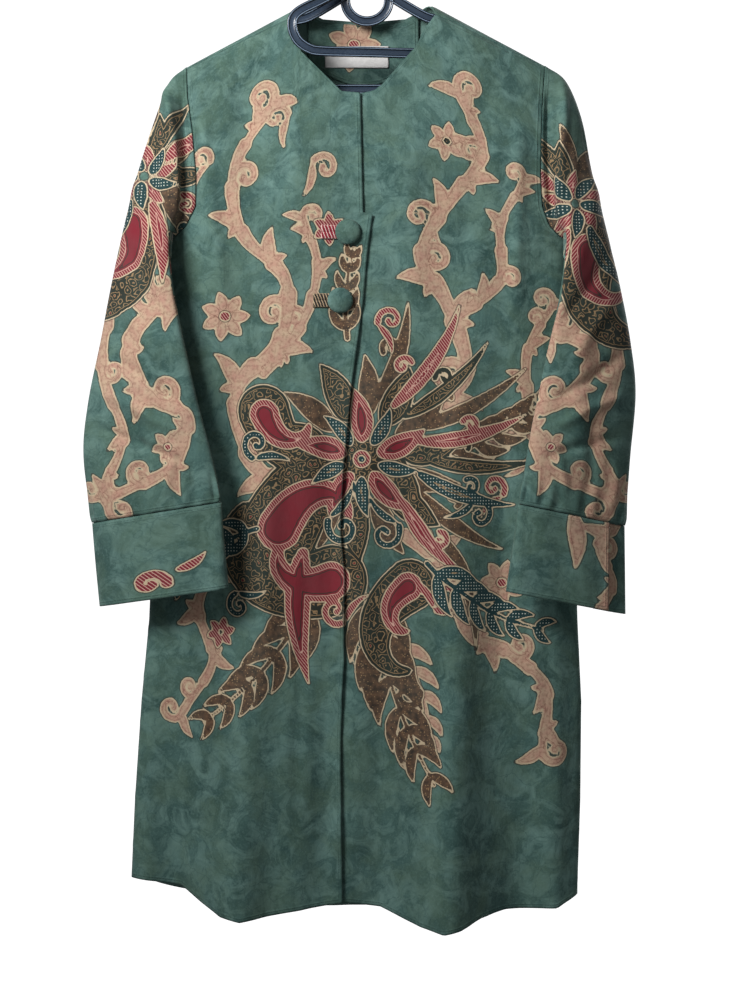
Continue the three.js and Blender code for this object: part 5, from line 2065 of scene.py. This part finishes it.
@dataclass
class Hanger:
    """The moulded hanger: hook, ring, two arms with a lower bar, and the front loop.

    Attributes:
        plastic: its finish.
        tall, deep: the band's section, in the hanger's plane and across it.
        flange, web: how thick its flanges and its web are.
        corner: how far its corners are rounded.
        hook_radius: radius of the hook's middle line.
        hook_start: direction from the hook's centre to its bend's start, in degrees.
        wire: radius of the hook's wire.
        ring_size: half width and half height of the ring, and the height of its centre.
        bar_z: height of the lower bar.
        clearance: gap between the arms and the cloth that hangs on them.
    """

    plastic: Finish
    tall: float = 10.5
    deep: float = 5.0
    flange: float = 1.9
    web: float = 2.4
    corner: float = 0.42
    hook_radius: float = 20.5
    hook_start: float = -25
    wire: float = 3.5
    ring_size: tuple[float, float, float] = (23, 22, -74)
    bar_z: float = -168
    clearance: float = 2.6

    def section(self) -> Array:
        """The band's I section with rounded corners.

        Returns:
            Rows of depth and height.
        """
        d, h, w = self.deep / 2, self.tall / 2, self.web / 2
        f = h - self.flange
        half = [(-d, -h), (-d, -f), (-w, -f + 0.5), (-w, f - 0.5), (-d, f), (-d, h)]
        corners = np.array(half + [(-a, -b) for a, b in half])
        result = []
        for i, corner in enumerate(corners):
            before, after = corners[i - 1], corners[(i + 1) % len(corners)]
            for t in (0, 0.5, 1):
                a = corner + unit(before - corner) * self.corner * (1 - t)
                result.append(a + unit(after - corner) * self.corner * t)
        return np.array(result)

    def frame_path(self) -> Array:
        """The middle line of both arms and the lower bar.

        Returns:
            Points in mm, from one side of the ring to the other.
        """
        def below(x: float) -> float:
            """Height at which an arm just clears the cloth on the shoulder ridge."""
            ridge = float(ridge_z(np.array(x)))
            return ridge - CAD_CLOTH - SEAM_GAP - self.tall / 2 - self.clearance

        arm = [(14, -62), (38, -77.5), (62, -91), (80, below(80) - 1.4), (112, below(112)),
               (154, below(154)), (170, below(170) - 4), (169, below(166) - 18), (152, self.bar_z),
               (126, self.bar_z)]
        other = [(-x, z) for x, z in arm[::-1]]
        return np.array([(x, 0, z) for x, z in arm + [(0, self.bar_z)] + other], float)

    def build(self) -> None:
        """Builds and dresses the hanger."""
        band = self.section()
        angle = np.linspace(0, 2 * np.pi, 96, endpoint=False)
        wide, high, ring_z = self.ring_size
        ring = np.column_stack((wide * np.cos(angle), 0 * angle, ring_z + high * np.sin(angle)))
        centre = -self.hook_radius + self.wire
        turn = np.radians(self.hook_start + np.arange(11) * 24)
        bend = np.column_stack((self.hook_radius * np.cos(turn), 0 * turn,
                                centre + self.hook_radius * np.sin(turn)))
        hook = np.vstack(((0, 0, -54), (1, 0, -46), (9, 0, -36.5), bend))
        round_ = np.linspace(0, 2 * np.pi, 20, endpoint=False)
        wire = np.column_stack((np.cos(round_), np.sin(round_))) * self.wire
        parts = [sweep(ring, band, closed=True), sweep(spline(hook, 110), wire),
                 sweep(spline(self.frame_path(), 300), band), sweep(spline(HANGER_LOOP, 220), band)]
        points, faces, rises, start = [], [], [], 0
        for (vertices, quads), outline in zip(parts, (band, wire * 0, band, band)):
            points.append(vertices)
            faces.append(quads + start)
            rises.append(np.resize(np.abs(outline[:, 1]), len(vertices)))
            start += len(vertices)
        obj = new_object("hanger_moulding", np.vstack(points), np.vstack(faces))
        # The height across the band's section, which places the plastic's painted highlight and painted
        # shade.
        point_values(obj, "rise", np.concatenate(rises))
        obj.data.set_sharp_from_angle(angle=math.radians(50))
        dress(obj, "hanger", self.plastic)


@dataclass
class Set:
    """The backdrop, the lights and the camera.

    Attributes:
        middle: x and z that the camera looks at, in metres.
        field: height that it sees.
        distance: its distance.
        sensor: height of its sensor in mm.
        floor: radius and height of the floor.
        shell_radius: radius of the surround.
        sky: colour of the light from all around.
        sky_strength: how strong that is.
    """

    middle: tuple[float, float] = (0.0084, -0.603)
    field: float = 1.05
    distance: float = 3.3
    sensor: float = 36.0
    floor: tuple[float, float] = (6.0, -1.6)
    shell_radius: float = 12
    sky: tuple[float, float, float, float] = (0.95, 0.97, 1.0, 1.0)
    sky_strength: float = 0.16

    def build(self) -> None:
        """Builds the stage."""
        white = Studio().material()
        floor = self.disc("floor", *self.floor)
        turn = np.linspace(0, np.pi, 25)
        radius = self.shell_radius
        arc = np.column_stack((np.sin(turn) * radius + 0.001, np.cos(turn) * radius))
        shell, faces = lathe(arc / MM, 48)
        surround = new_object("surround", shell, faces)
        for piece in (floor, surround):
            piece.data.materials.append(white)
            piece.visible_diffuse = piece.visible_glossy = piece.visible_shadow = False
            piece.visible_transmission = False
        for row in LIGHTS:
            self.light(*row)
        world = bpy.data.worlds.new("studio")
        world.use_nodes = True
        world.node_tree.nodes["Background"].inputs[0].default_value = self.sky
        world.node_tree.nodes["Background"].inputs[1].default_value = self.sky_strength
        bpy.context.scene.world = world
        self.camera()
        bpy.context.scene.view_settings.view_transform = "Standard"

    def disc(self, name: str, radius: float, height: float) -> Piece:
        """Makes a round plate.

        Args:
            name: its name.
            radius: its radius in metres.
            height: its height in metres.

        Returns:
            The plate.
        """
        count = 64
        angle = np.linspace(0, 2 * np.pi, count, endpoint=False)
        ring = np.column_stack((np.cos(angle) * radius, np.sin(angle) * radius, 0 * angle + height))
        return new_object(name, ring / MM, np.arange(count)[None])

    def light(self, name: str, place: tuple[float, float, float], size: float, power: float,
              aim_z: float, spread: float) -> None:
        """Adds a square area light.

        Args:
            name: its name.
            place: where it is, in metres.
            size: its side in metres.
            power: its power in watts.
            aim_z: height on the garment that it points at.
            spread: its spread in degrees.
        """
        data = bpy.data.lights.new(name, "AREA")
        data.size, data.energy, data.spread = size, power, math.radians(spread)
        lamp = bpy.data.objects.new(name, data)
        lamp.location = place
        aim = Vector((0, 0, aim_z)) - Vector(place)
        lamp.rotation_euler = aim.to_track_quat("-Z", "Y").to_euler()
        bpy.context.scene.collection.objects.link(lamp)

    def camera(self) -> None:
        """Adds the camera, level and square to the front."""
        data = bpy.data.cameras.new("front")
        data.sensor_fit, data.sensor_height = "VERTICAL", self.sensor
        data.lens = self.sensor * self.distance / self.field
        eye = bpy.data.objects.new("front", data)
        eye.location = (self.middle[0], -self.distance - 0.03, self.middle[1])
        eye.rotation_euler = (math.pi / 2, 0, 0)
        bpy.context.scene.collection.objects.link(eye)
        bpy.context.scene.camera = eye


def main() -> None:
    """Builds the scene over the frame."""
    logging.basicConfig(level=logging.INFO, format="%(name)s %(message)s")
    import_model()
    batik = Batik()
    satin = Trim("label_satin", linear(226, 224, 222), linear(150, 150, 156), 0.0, 0.42)
    crimson = Trim("crimson_cloth", linear(140, 34, 50), linear(228, 196, 188), 3.4)
    dark = Trim("dark_cloth", linear(52, 46, 40), linear(196, 172, 140), 3.0)
    Garment(batik.material(), satin.material()).build()
    cover = Batik(name="button_cloth").material()
    Fastenings(cover, {"upper": crimson.material(), "lower": dark.material()}).build()
    Hanger(Plastic().material()).build()
    Set().build()
    LOG.info("the stage is in place")


if __name__ == "__main__":
    main()
